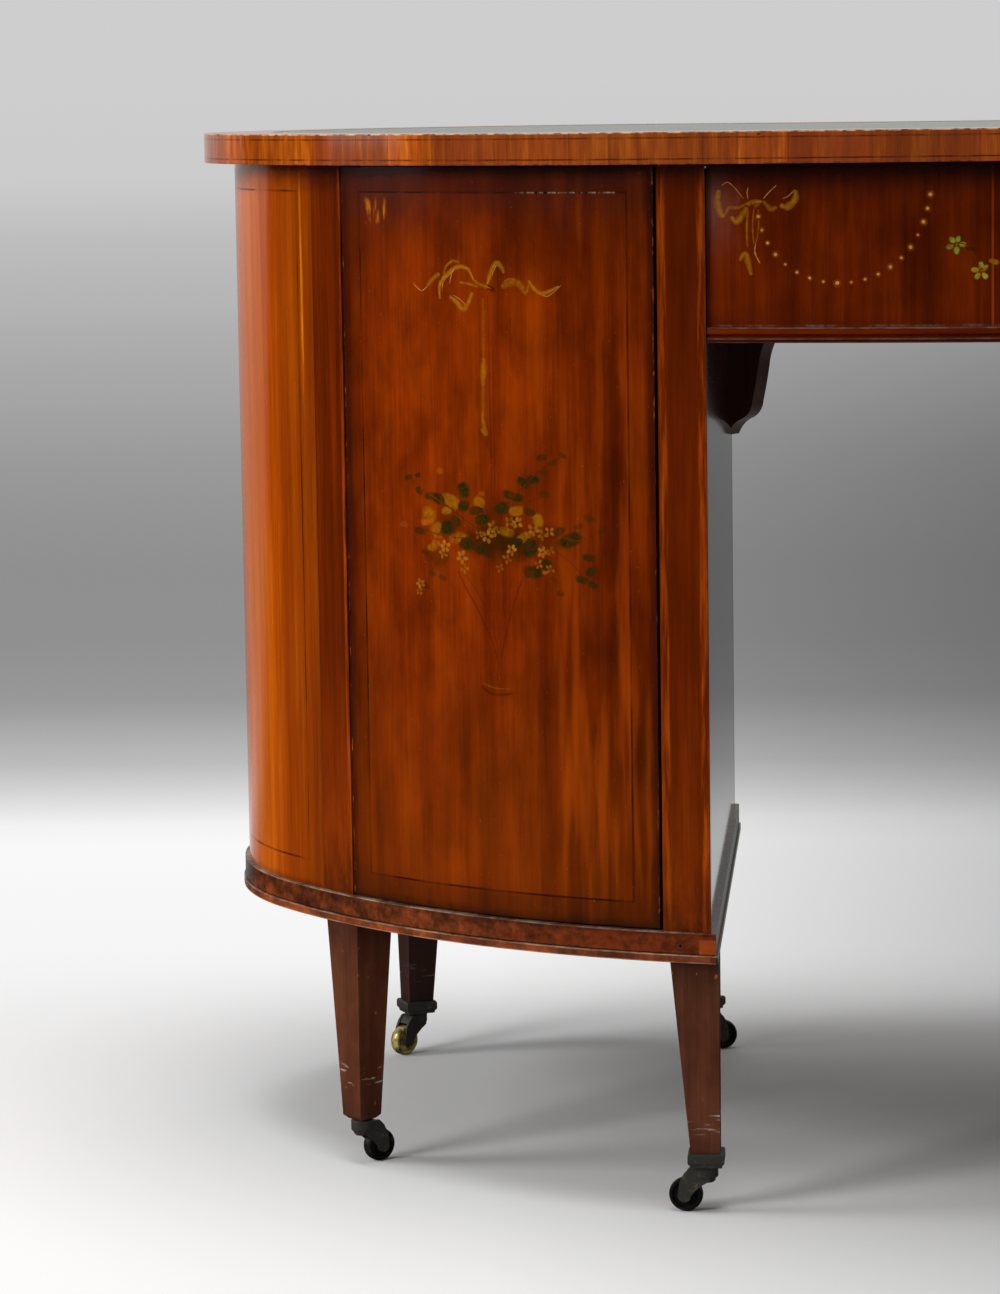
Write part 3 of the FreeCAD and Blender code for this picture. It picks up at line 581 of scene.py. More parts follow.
def bandingColour():
    # The top's edge: upright crossbanding between two dark strings, with a pale arris, worn and with a painted
    # highlight
    coat = Coat(bandingWood)
    z, along, proud = coat.z, coat.along, coat.proud
    tint, warmth, joint = segments(along, 26.0, 2.3)
    coat.dim(spread(tint, 0.0, 1.0, 0.72, 1.2))
    coat.tint(spread(warmth, 0.55, 0.95, 0.0, 0.5), tone(130, 54, 28))
    narrow = segments(along, 130.0, 5.1)[0]
    coat.dim(spread(narrow, 0.0, 1.0, 0.80, 1.14))
    # greasy dirt towards the front of the kneehole
    dull = spread(along, 0.12, 0.26, 0.75, 0.0, smooth=True)
    coat.tint(dull * 0.55, tone(112, 52, 30))
    coat.tint(spread(joint, 0.0, 0.02, 0.4, 0.0), tone(60, 22, 6))
    worn = grain(0.012, 0.003, 113)
    upright = spread(proud, plan["overhang"] - 0.0009, plan["overhang"] - 0.0004)
    for place, amount in ((topHigh - 0.0040, 0.7), (caseHigh + 0.0036, 0.85)):
        line = near(z, place, 0.0003, 0.0005) * spread(worn, 0.36, 0.56, 0.15, amount) * upright
        coat.tint(line, tone(62, 24, 8))
    # the pale arris line: wear, and a painted highlight where the edge would catch the light
    arris = spread(z, topHigh - 0.0011, topHigh - 0.0004, 0.0, 1.0)
    ragged = grain(0.006, 0.002, 117, 4, 0.65)
    rim = arris * spread(proud, plan["overhang"] - 0.0022, plan["overhang"] - 0.0008)
    coat.tint(rim * spread(ragged, 0.42, 0.60, 0.0, 0.85), tone(236, 196, 150))
    lowArris = spread(z, caseHigh + 0.0003, caseHigh + 0.0010, 1.0, 0.0) * spread(ragged, 0.5, 0.6)
    coat.tint(lowArris * 0.7, tone(44, 20, 10))
    chips = grain(0.01, 0.006, 121, 2, 0.5)
    chip = spread(chips, 0.68, 0.71) * spread(z, topHigh - 0.0048, topHigh - 0.0028)
    coat.tint(chip, tone(58, 34, 24))
    return coat


def topColour():
    # The board's upper face: crossbanding round the leather, laid square to the outline
    along, proud = outlineOf()
    coat = Coat(bandingWood, "y", joined(along, proud, 0.0))
    tint = segments(along, 14.0, 7.7)[0]
    coat.dim(spread(tint, 0.0, 1.0, 0.8, 1.15))
    for place in (plan["overhang"] - 0.014, plan["overhang"] - plan["leatherBorder"] + 0.0025):
        coat.tint(near(proud, place, 0.0006, 0.0004), darkString)
    rings = grain(0.05, 0.05, 127)
    coat.dim(spread(rings, 0.35, 0.65, 0.82, 1.08))
    return coat


plinthLook = {"lip": 0.0056, "repair": (-0.004, 0.0075), "screw": (0.0215, 0.0062), "kneeFace": (0.26665, 0.2670)}


def plinthColour():
    # Dark mottled band over a lighter crossbanded lip, with worn arrises that carry painted highlights, an orange
    # repair and a screw hole
    low, high = boxOf("left_plinth_moulding")
    along, z = outlineOf()[0], parts(position())[2]
    coat = Coat(plinthWood, "x", joined(along, 0.0, z))
    mottle = grain(0.012, 0.009, 131, 4, 0.65)
    coat.dim(spread(mottle, 0.36, 0.66, 0.55, 1.45))
    redder = spread(along, 0.06, 0.20, 0.75, 0.0, smooth=True) * spread(mottle, 0.4, 0.6, 0.3, 1.0)
    coat.tint(redder, tone(124, 48, 10))
    # the lip under the band
    lipTop = low.z + plinthLook["lip"]
    isLip = spread(z, lipTop - 0.0002, lipTop + 0.0002, 1.0, 0.0)
    lip = Coat(plinthWood)
    lip.dim(spread(segments(along, 70.0, 3.1)[0], 0.0, 1.0, 1.3, 2.3))
    coat.tint(isLip, lip.colour)
    coat.tint(near(z, lipTop + 0.0004, 0.0003, 0.0006) * 0.8, tone(20, 9, 6))
    # pale lines along the arrises: wear, and a painted highlight
    fray = grain(0.024, 0.006, 137, 4, 0.7)
    for place, amount in ((high.z - 0.0003, 0.6), (lipTop - 0.0003, 0.45), (low.z + 0.0003, 0.35)):
        rubAndHighlight = near(z, place, 0.0002, 0.0005) * spread(fray, 0.42, 0.62, 0.1, amount)
        coat.tint(rubAndHighlight, tone(208, 178, 150))
    dirt = spread(z, high.z - 0.0012, high.z - 0.0045, 0.45, 0.0)
    coat.tint(dirt * spread(along, 0.24, 0.16, 0.2, 1.0), sootAndShade)
    patch = within(along, *plinthLook["repair"], 0.001) * within(z, lipTop + 0.0012, high.z - 0.0052, 0.0008)
    coat.tint(patch * spread(mottle, 0.3, 0.6, 0.85, 0.35), tone(172, 74, 16))
    screwAlong, screwUp = plinthLook["screw"]
    hole = distance(along - screwAlong, z - (lipTop + screwUp))
    coat.tint(spread(hole, 0.0009, 0.0015, 0.95, 0.0), tone(12, 7, 6))
    coat.tint(near(hole, 0.0030, 0.0007, 0.0008) * spread(mottle, 0.4, 0.6), tone(46, 22, 14))
    # the kneehole face is plain and dark, with a brassy line
    side = blend(near(z, lipTop, 0.0004, 0.0006) * 0.7, tone(44, 32, 24), tone(150, 122, 76))
    coat.tint(spread(abs(coat.x), *plinthLook["kneeFace"], 0.92, 0.0), side)
    return coat


def legColour():
    # Plain dull legs with pale scratches, chips and dirt by the floor, painted shade at their tops under the case and
    # on the far legs
    coat = Coat(legWood)
    z = coat.z
    shade = grain(0.03, 0.05, 141)
    coat.dim(spread(shade, 0.35, 0.65, 0.72, 1.12))
    # painted shade at the top of each leg, under the case
    under = spread(z, 0.150, 0.183, 0.0, 0.55, smooth=True)
    coat.tint(under, tone(40, 24, 18))
    scuffs = grain(0.016, 0.003, 143, 3, 0.65)
    low = within(z, 0.062, 0.072, 0.006)
    coat.tint(low * spread(scuffs, 0.58, 0.72, 0.0, 0.8), tone(186, 172, 160))
    chips = grain(0.006, 0.01, 147, 2, 0.5)
    coat.tint(spread(chips, 0.70, 0.73, 0.0, 0.8), tone(168, 84, 36))
    dirt = spread(shade * 0.03 + z, 0.05, 0.085, 0.35, 0.0, smooth=True)
    coat.tint(dirt, tone(44, 30, 24))
    # painted shade: the far legs, in the desk's shadow, darkened to near black
    coat.tint(spread(coat.y, 0.0, 0.1, 0.0, 0.72), tone(34, 29, 28))
    return coat


def kneeColour():
    coat = Coat(kneeWood)
    # painted shade at the top of the kneehole side, under the frieze
    underTopShade(coat, 0.04, 0.85)
    return coat


def edgedFront(look, span, low, high, across="along"):
    # A drawer front with a string border and grimy edges, in the distances that its sides are measured in
    coat = Coat(look)
    edge = insetOf(getattr(coat, across), coat.z, span, low, high)
    borderLines(coat, edge, darkString, 0.9, 0.013, 0.3)
    grimyEdge(coat, edge, 0.5, 0.006)
    return coat


def veneerMaterial(name, paint, rough=0.42, coat=0.9, coatRough=0.08, strength=0.25):
    material, shader = polish(name, rough, coat, coatRough)
    painted = paint()
    finished(shader, painted.colour, painted.height, strength)
    return material


def plainWood(look, grainAxis="z"):
    return lambda: Coat(look, grainAxis)


def dress(material, *names):
    for name in names:
        for slot in nodes[name].material_slots:
            slot.material = material


def both(*names):
    return [side + "_" + name for side in sides for name in names]


def dressFronts():
    # Each drawer front has its border at its own height
    def dressFront(name, look, ends, across, *targets):
        low, high = boxOf(targets[0])

        def paint():
            return edgedFront(look, ends(low, high), low.z, high.z, across)
        dress(veneerMaterial(name, paint), *targets)

    for name in drawerNames:
        dressFront(name + "DrawerVeneer", satinwoodDeep, pedestalEndsOf, "along", *both(name + "_drawer_front"))
    dressFront("friezeDrawerVeneer", friezeWood, lambda low, high: (low.x, high.x), "x", "frieze_drawer_front")


def pedestalEndsOf(low, high):
    # Where a drawer front begins and ends along the outline, from its least and greatest X
    angles = [math.pi - math.asin((lobeCentre.x - x) / plan["lobeRadius"]) for x in (low.x, high.x)]
    return sorted(bowLength + plan["lobeRadius"] * (angle - plan["bowTurn"]) for angle in angles)


def leatherMaterial():
    # Green hide with a line of gold tooling
    look = {"hide": tone(38, 56, 36), "worn": tone(62, 76, 46), "gold": tone(176, 138, 62), "insets": (0.010, 0.0145)}
    material, shader = polish("greenHide", 0.4, 0.7, 0.16, 0.25)
    colour = blend(spread(grain(0.09, 0.09, 151), 0.4, 0.65, 0.0, 0.8), look["hide"], look["worn"])
    edge = plan["overhang"] - plan["leatherBorder"] - outlineOf()[1]
    fleck = grain(0.004, 0.004, 153, 2)
    for inset, half in zip(look["insets"], (0.0012, 0.0004)):
        colour = blend(near(edge, inset, half, 0.0003) * spread(fleck, 0.35, 0.5, 0.3, 1.0), colour, look["gold"])
    pebble = add("ShaderNodeTexVoronoi", {"Vector": position(), "Scale": 900.0})
    finished(shader, colour, pebble, 0.3)
    return material


def metalMaterial(name, dark, bare, rough, wear):
    # Old brass: brown patina with bare metal where it rubs
    material, shader = polish(name, rough, 0.0, 0.3, 0.5, 0.35)
    fine = grain(0.0015, 0.0015, 159)
    mask = spread(fine * 0.3 + grain(0.006, 0.006, 157, 4, 0.65) * 0.7, wear, wear + 0.12)
    finished(shader, blend(mask, dark, bare), fine, 0.3, 0.0003)
    feed(shader.inputs["Roughness"], spread(mask, 0.0, 1.0, rough + 0.12, rough - 0.08))
    return material


dress(veneerMaterial("doorVeneer", doorColour), *both("door"))
dress(veneerMaterial("endPanelVeneer", panelColour, coat=1.0), *both("end_panel"))
dress(veneerMaterial("stileVeneer", stileColour), *both("stiles"))
dress(veneerMaterial("friezeVeneer", friezeColour), "room_side_frieze", "sitter_side_rails")
dress(veneerMaterial("mouldingWood", mouldingColour), "room_side_frieze_moulding")
dress(veneerMaterial("topEdgeVeneer", bandingColour, strength=0.15), "top_edge_banding")
dress(veneerMaterial("topVeneer", topColour), "desk_top")
dress(veneerMaterial("plinthVeneer", plinthColour, 0.5, 0.5, 0.2), *both("plinth_moulding"))
dress(veneerMaterial("legWood", legColour, 0.55, 0.18, 0.3), *both("legs"))
dress(veneerMaterial("kneeholeVeneer", kneeColour, 0.4, 1.0, 0.06), *both("kneehole_side"))
dress(veneerMaterial("bracketWood", plainWood(bracketLook), 0.5, 0.3, 0.2), "kneehole_brackets")
dress(veneerMaterial("carcassWood", plainWood(innerWood, "y"), 0.6, 0.0),
      "frieze_drawer_runners", "frieze_drawer_box",
      *both("partition", "shelf", *[name + "_drawer_box" for name in drawerNames]))
dress(veneerMaterial("railWood", plainWood(stileWood, "x"), 0.45, 0.5), *both("drawer_rails"))
dress(veneerMaterial("undersideWood", plainWood(underWood, "y"), 0.7, 0.0), *both("base_board"))
dressFronts()
dress(leatherMaterial(), "leather_writing_surface")
bronze = metalMaterial("casterBronze", tone(66, 63, 58), tone(106, 98, 82), 0.42, 0.55)
brass = metalMaterial("casterBrass", tone(52, 48, 38), tone(176, 146, 88), 0.34, 0.50)
dress(bronze, *both("caster_cups", *["caster_%d_fork" % k for k in (1, 2, 3, 4)]))
dress(brass, *both(*["caster_%d_wheel" % k for k in (1, 2, 3, 4)]))


print("ornament: ribbon knot, basket of flowers, swag of pearls")
ochre = tone(158, 104, 12)
paleGold = tone(204, 146, 84)
leafGreen = tone(30, 34, 7)
petalYellow = tone(146, 90, 14)
petalCream = tone(164, 104, 28)
cordRed = tone(88, 20, 3)

# Distances in millimetres from the ornament's middle, to the right and up; a stroke is points, width, colour, cover
ribbonKnot = {
    "along": 0.1688, "height": 0.6545, "seed": 4, "breadth": 1.6, "leafSize": 1.0,
    "strokes": (
        (((-65, 2), (-57, -3.5), (-49, 2)), 1.0, paleGold, 0.7),
        (((-52, 0), (-45, 6), (-40, 9)), 2.6, ochre, 0.6),
        (((-40, -9), (-40, 0), (-36, 6), (-32, 9), (-26, 13), (-20, 14), (-14, 12), (-10, 5)), 2.4, ochre, 0.85),
        (((-38, -4), (-37, 2), (-33, 7), (-27, 11)), 0.7, paleGold, 0.9),
        (((-36, 8), (-34, 14), (-28, 18), (-22, 17)), 1.6, ochre, 0.6),
        (((-31, 2), (-29, 9), (-26, 13), (-24, 13)), 1.0, paleGold, 0.8),
        (((-31, -7), (-25, -11), (-19, -16), (-15, -12), (-11, -4)), 2.6, ochre, 0.8),
        (((-28, -6), (-22, -9), (-17, -13)), 0.7, paleGold, 0.8),
        (((-10, 5), (-5, 2), (2, 0), (5, -1)), 2.0, ochre, 0.6),
        (((-22, 3), (-14, 2), (-6, 0)), 1.4, ochre, 0.6),
        (((2, 2), (6, 12), (10, 17), (14, 14), (16, 10)), 2.8, ochre, 0.8),
        (((6, 8), (9, 14), (12, 16)), 0.8, paleGold, 0.8),
        (((14, 0), (20, 3), (28, 3), (33, -4)), 3.4, ochre, 0.45),
        (((16, 4), (22, 6), (30, 3)), 1.2, ochre, 0.5),
        (((33, -5), (35, -2), (36, 2)), 1.6, ochre, 0.5),
        (((36, 5), (41, -1), (48, -4), (60, 1)), 2.0, ochre, 0.75),
        (((42, -2), (50, -6), (56, -3), (62, 2)), 1.0, paleGold, 0.55),
        (((-2, -8), (-2, -30), (-2, -50)), 2.4, ochre, 0.22),
        (((-2, -50), (-2.5, -60), (-3, -70)), 3.2, ochre, 0.68),
        (((-3, -70), (-3, -80), (-3, -88)), 2.4, ochre, 0.3),
        (((-3, -86), (-3.5, -94), (-1, -104), (-5, -100)), 2.4, ochre, 0.6),
        (((2, -6), (2.5, -60), (3, -150)), 1.2, cordRed, 0.55),
        (((6, -30), (5.5, -80), (6, -150)), 0.9, cordRed, 0.45),
        (((3, -100), (0, -112), (6, -122), (1, -134), (5, -150)), 1.2, cordRed, 0.4),
    ),
    "spots": ((5, -1, 5, 3, tone(62, 20, 4), 0.85), (10, -150, 3, 2, cordRed, 0.3)),
}

# Leaves and flowers as x, z, half width, half height, colour, cover and, for a flower, its petals
basketSpray = {
    "along": doorLook["basketAlong"], "height": doorLook["basketHeight"], "seed": 11, "breadth": 1.2, "leafSize": 1.5,
    "strokes": (
        (((-72, 41), (-62, 34), (-48, 27), (-34, 20), (-20, 12), (-4, 4)), 0.9, leafGreen, 0.55),
        (((-62, 6), (-50, 2), (-38, 0), (-20, 0)), 0.8, leafGreen, 0.5),
        (((-58, -34), (-52, -24), (-42, -14), (-30, -6)), 0.8, leafGreen, 0.5),
        (((4, 6), (12, 20), (20, 31), (32, 42), (44, 52), (60, 61)), 0.9, leafGreen, 0.65),
        (((26, 26), (38, 30), (48, 34)), 0.7, leafGreen, 0.45),
        (((40, 2), (56, 4), (72, 2), (90, 9)), 0.8, leafGreen, 0.5),
        (((46, -2), (60, -10), (72, -20), (80, -32)), 0.8, leafGreen, 0.55),
        (((50, -10), (56, -24), (57, -36)), 0.7, leafGreen, 0.4),
        (((-29, -24), (-21, -37), (-13.5, -48), (-4, -64), (2, -77), (6, -90)), 1.7, cordRed, 0.75),
        (((26, -28), (21, -40), (17, -51), (12, -68), (8, -84)), 1.7, cordRed, 0.75),
        (((-22, -26), (-8, -44), (2, -66), (6, -84)), 1.1, cordRed, 0.6),
        (((18, -28), (10, -46), (6, -70)), 1.1, cordRed, 0.6),
        (((-10, -26), (-2, -46), (4, -70)), 0.6, cordRed, 0.35),
        (((6, -26), (4, -48), (5, -72)), 0.6, cordRed, 0.35),
        (((-20, -36), (-4, -39), (22, -37)), 0.6, cordRed, 0.4),
        (((-13, -48), (2, -51), (17, -49)), 0.6, cordRed, 0.4),
        (((-5, -62), (4, -64), (13, -62)), 0.6, cordRed, 0.35),
        (((6, -88), (4, -96), (5, -104)), 1.4, cordRed, 0.5),
        (((-10, -105), (-4, -109), (5, -111), (17, -109)), 2.2, tone(70, 15, 3), 0.7),
        (((-9, -103), (2, -106), (15, -106)), 0.7, ochre, 0.4),
    ),
    "spots": (
        (-55, 14, 5, 7, ochre, 0.45), (-34, 26, 7, 5, ochre, 0.5), (-9, 26, 4, 5, ochre, 0.42),
        (22, 21, 5, 4, ochre, 0.48), (43, -20, 4, 3, ochre, 0.4), (-48, 6, 5, 4, ochre, 0.4),
        (-28, 0, 6, 4, ochre, 0.4), (28, 2, 5, 4, ochre, 0.45), (-74, 41, 2.8, 2.2, leafGreen, 0.8),
        (-65, 43, 2.4, 2, leafGreen, 0.75), (-64, 32, 3.2, 2.6, leafGreen, 0.8),
        (-54, 28.5, 3.8, 3, leafGreen, 0.85), (-46, 27, 5.5, 4.2, leafGreen, 0.9),
        (-23, 34, 4.2, 6.6, leafGreen, 0.95), (-23, 23, 4.2, 4.6, leafGreen, 0.92),
        (-12, 20, 5, 3.6, leafGreen, 0.9), (-7, 14, 5.4, 4.2, leafGreen, 0.95),
        (-37, 7, 6.8, 5.6, leafGreen, 0.95), (-30, 12, 4.2, 3.6, leafGreen, 0.8), (-64, 3, 4.5, 3, leafGreen, 0.7),
        (-59, -12, 3, 2.2, leafGreen, 0.6), (-21, -4, 5.2, 5, leafGreen, 0.9), (-8, -8, 4.6, 3.6, leafGreen, 0.75),
        (10, 22.6, 5.2, 4.6, leafGreen, 0.95), (16, 32.5, 4.4, 3.4, leafGreen, 0.9),
        (23, 30.5, 4.2, 3.4, leafGreen, 0.9), (28, 41.7, 4.6, 3.4, leafGreen, 0.95),
        (36.5, 43.7, 4.6, 3.2, leafGreen, 0.9), (45, 49.6, 3, 2.2, leafGreen, 0.6),
        (43.4, 59.5, 3.4, 2.6, leafGreen, 0.85), (60, 61.5, 3, 2, leafGreen, 0.6),
        (52, 56, 2.6, 1.8, leafGreen, 0.5), (33.4, 20.6, 4, 3, leafGreen, 0.75),
        (45, 34, 3.6, 2.6, leafGreen, 0.5), (20, 14, 4.4, 3.4, leafGreen, 0.8),
        (33.4, -4.5, 5, 7.6, leafGreen, 0.92), (22, -2, 5, 3.6, leafGreen, 0.8),
        (35.7, -21.6, 6.6, 5.2, leafGreen, 0.95), (46, -16, 4, 4.6, leafGreen, 0.8),
        (65, 2, 8, 5.6, leafGreen, 0.95), (57, 8, 4, 3, leafGreen, 0.7), (79.6, -9.8, 3.8, 3, leafGreen, 0.85),
        (81, -19.7, 3.6, 3, leafGreen, 0.85), (74, -25.6, 4.2, 3, leafGreen, 0.85),
        (82.7, -29, 3.2, 2.6, leafGreen, 0.8), (80.4, 18, 4, 2.6, leafGreen, 0.45),
        (90, 10, 3, 2, leafGreen, 0.35), (57, -36, 2.8, 2.2, leafGreen, 0.6), (52, -26, 2.6, 2, leafGreen, 0.5),
        (-53, -27, 3, 2.4, leafGreen, 0.5), (-43, -29.5, 3, 2.4, leafGreen, 0.5),
        (-59, -36, 3, 2.2, leafGreen, 0.65), (72, 12, 3.4, 2.4, leafGreen, 0.5), (40, 15, 3.4, 5.4, ochre, 0.55),
        (-38, 19, 4, 3, ochre, 0.5), (-58, 10, 4, 3, tone(176, 84, 14), 0.6),
        (-44, 47, 2.6, 2.2, tone(176, 84, 14), 0.4), (-79, 7, 3.4, 2.2, tone(150, 70, 22), 0.45),
        (-7, 32, 2.6, 2.2, tone(150, 76, 22), 0.35), (14, 6, 5, 3.6, ochre, 0.45), (-52, -8, 4, 3, ochre, 0.45),
        (-48, -2, 4.6, 4.2, petalYellow, 0.9, 4), (-40, -6.5, 4.2, 4, petalCream, 0.92, 5),
        (-42, -12, 3.8, 3.4, petalCream, 0.8, 4), (-25, -14, 4.4, 4.2, petalCream, 0.92, 5),
        (-23, -22, 3.6, 3.4, petalYellow, 0.85, 4), (2, 9, 4.2, 4, petalYellow, 0.85, 5),
        (-2, 2, 4.4, 4.2, petalCream, 0.85, 5), (5, 6, 3.6, 3.2, petalYellow, 0.75, 4),
        (16, 13, 3.8, 3.6, petalYellow, 0.8, 4), (23, 12.6, 4, 3.8, petalCream, 0.85, 5),
        (36, 8, 4.2, 4, petalCream, 0.88, 5), (43.4, 4.8, 3.8, 3.6, petalYellow, 0.85, 4),
        (49, 7.4, 3.4, 3.2, petalCream, 0.8, 4), (43.4, -7, 4, 3.8, petalCream, 0.88, 5),
        (49.6, -6.5, 3.2, 3, petalYellow, 0.75, 4), (18, -6.5, 4, 3.8, petalCream, 0.85, 5),
        (14, -13, 3.4, 3, petalYellow, 0.8, 4), (40, -15.7, 3, 2.8, petalCream, 0.75, 4),
        (49, -19, 3.2, 3, petalYellow, 0.75, 4), (-64, -35, 3.6, 3.4, petalCream, 0.9, 5),
        (-65, -41, 2.8, 2.6, petalYellow, 0.8, 4), (-10, 3, 3.4, 3, petalYellow, 0.65, 4),
        (8, -20, 3, 2.8, petalYellow, 0.55, 4), (-33, -1, 3, 2.8, petalYellow, 0.6, 4),

    ),
}

friezeKnot = {
    "middle": -0.2385, "height": 0.7125, "seed": 23, "breadth": 1.6, "leafSize": 1.0,
    "strokes": (
        (((-22, 9), (-23, 1.3), (-21, -6.6), (-18, -8.6)), 3.2, ochre, 0.8),
        (((-18, -8), (-15, -3), (-9, -3), (-3, 0)), 1.6, ochre, 0.55),
        (((-13.6, -9), (-10, -12.5), (-5, -6.6), (-3, -2.6)), 3.0, ochre, 0.78),
        (((-20, 12), (-16, 14.5), (-11, 10.5), (-5, 3)), 1.0, paleGold, 0.55),
        (((8.5, 1.3), (13.6, -4), (17.5, -2.6)), 2.4, ochre, 0.5),
        (((20, -1.3), (25, -2.6), (30.5, 2.6), (30.5, 8.6)), 3.2, ochre, 0.85),
        (((22, 3), (26, 5), (30, 9)), 1.2, paleGold, 0.55),
        (((-2, 3), (-2.5, 7), (-2, 10.5)), 1.0, paleGold, 0.7),
        (((8.5, 3), (13, 8), (17.5, 12)), 1.0, paleGold, 0.7),
        (((-3, -1), (2, 1), (8, 1)), 2.2, ochre, 0.7),
        (((-2, -4), (-3, -17), (-2.6, -30)), 1.0, ochre, 0.7),
        (((2, -4), (1, -16), (2, -28)), 0.9, ochre, 0.65),
        (((5, -4), (5, -18), (3, -28)), 0.8, ochre, 0.55),
        (((-8, -39), (-4, -34), (-2, -41), (0, -49)), 2.6, ochre, 0.8),
        (((3, -28), (2.6, -34), (6, -41)), 1.4, paleGold, 0.75),
        (((134, -30), (140, -28), (148, -31), (157, -46), (166, -40)), 0.8, tone(70, 52, 12), 0.7),
    ),
    "spots": (
        (4, -1, 3.4, 2.4, tone(120, 66, 10), 0.8), (139.5, -29, 5.4, 5.0, tone(136, 152, 42), 0.95, 5),
        (156, -47, 5.4, 5.0, tone(176, 170, 52), 0.95, 5), (149.5, -32, 4.4, 2.6, tone(42, 32, 8), 0.9),
        (165, -41, 4.2, 2.8, ochre, 0.8), (139.5, -29, 1.5, 1.4, tone(150, 70, 12), 0.95),
        (156, -47, 1.5, 1.4, tone(150, 70, 12), 0.95),

    ),
}

# A halo and a pearl at each place: radius, colour, cover and metres proud of the frieze
pearls = {
    "count": 19, "swell": 0.00006, "start": (5, -9), "first": (14, -70), "second": (112, -75), "end": (122, 5),
    "layers": ((3.0, tone(140, 72, 14), 0.42, 0.00002), (1.4, tone(212, 146, 62), 0.95, 0.00006)),
}


def smoothed(points, steps=5):
    # A curve through the points (Catmull-Rom)
    if len(points) < 3:
        return [Vector(point) for point in points]
    ends = [points[0], *points, points[-1]]
    made = []
    for a, b, c, d in zip(ends, ends[1:], ends[2:], ends[3:]):
        a, b, c, d = (Vector(point) for point in (a, b, c, d))
        for step in range(steps):
            t = step / steps
            made.append(0.5 * (2 * b + (c - a) * t + (2 * a - 5 * b + 4 * c - d) * t * t
                               + (3 * b - a - 3 * c + d) * t ** 3))
    return made + [Vector(points[-1])]


# Share of the size and of the cover, from the middle to the rim of a leaf or petal
leafRings = ((0.62, 1.0), (1.0, 0.0))
# Metres proud of the front: the rim, the crown and the hidden underside of a patch, and what each patch adds
paintRim, paintCrown, paintUnder, paintStep = 0.00002, 0.000034, -0.0003, 0.0000006


def linked(name, mesh, material, crease=None):
    # An object from finished geometry, smooth but for edges that turn by more than crease degrees
    bmesh.ops.recalc_face_normals(mesh, faces=mesh.faces)
    for face in mesh.faces:
        face.smooth = True
    for edge in mesh.edges if crease else ():
        if len(edge.link_faces) == 2 and edge.calc_face_angle(0) > math.radians(crease):
            edge.smooth = False
    data = bpy.data.meshes.new(name)
    mesh.to_mesh(data)
    mesh.free()
    data.materials.append(material)
    piece = bpy.data.objects.new(name, data)
    bpy.context.scene.collection.objects.link(piece)
    return piece


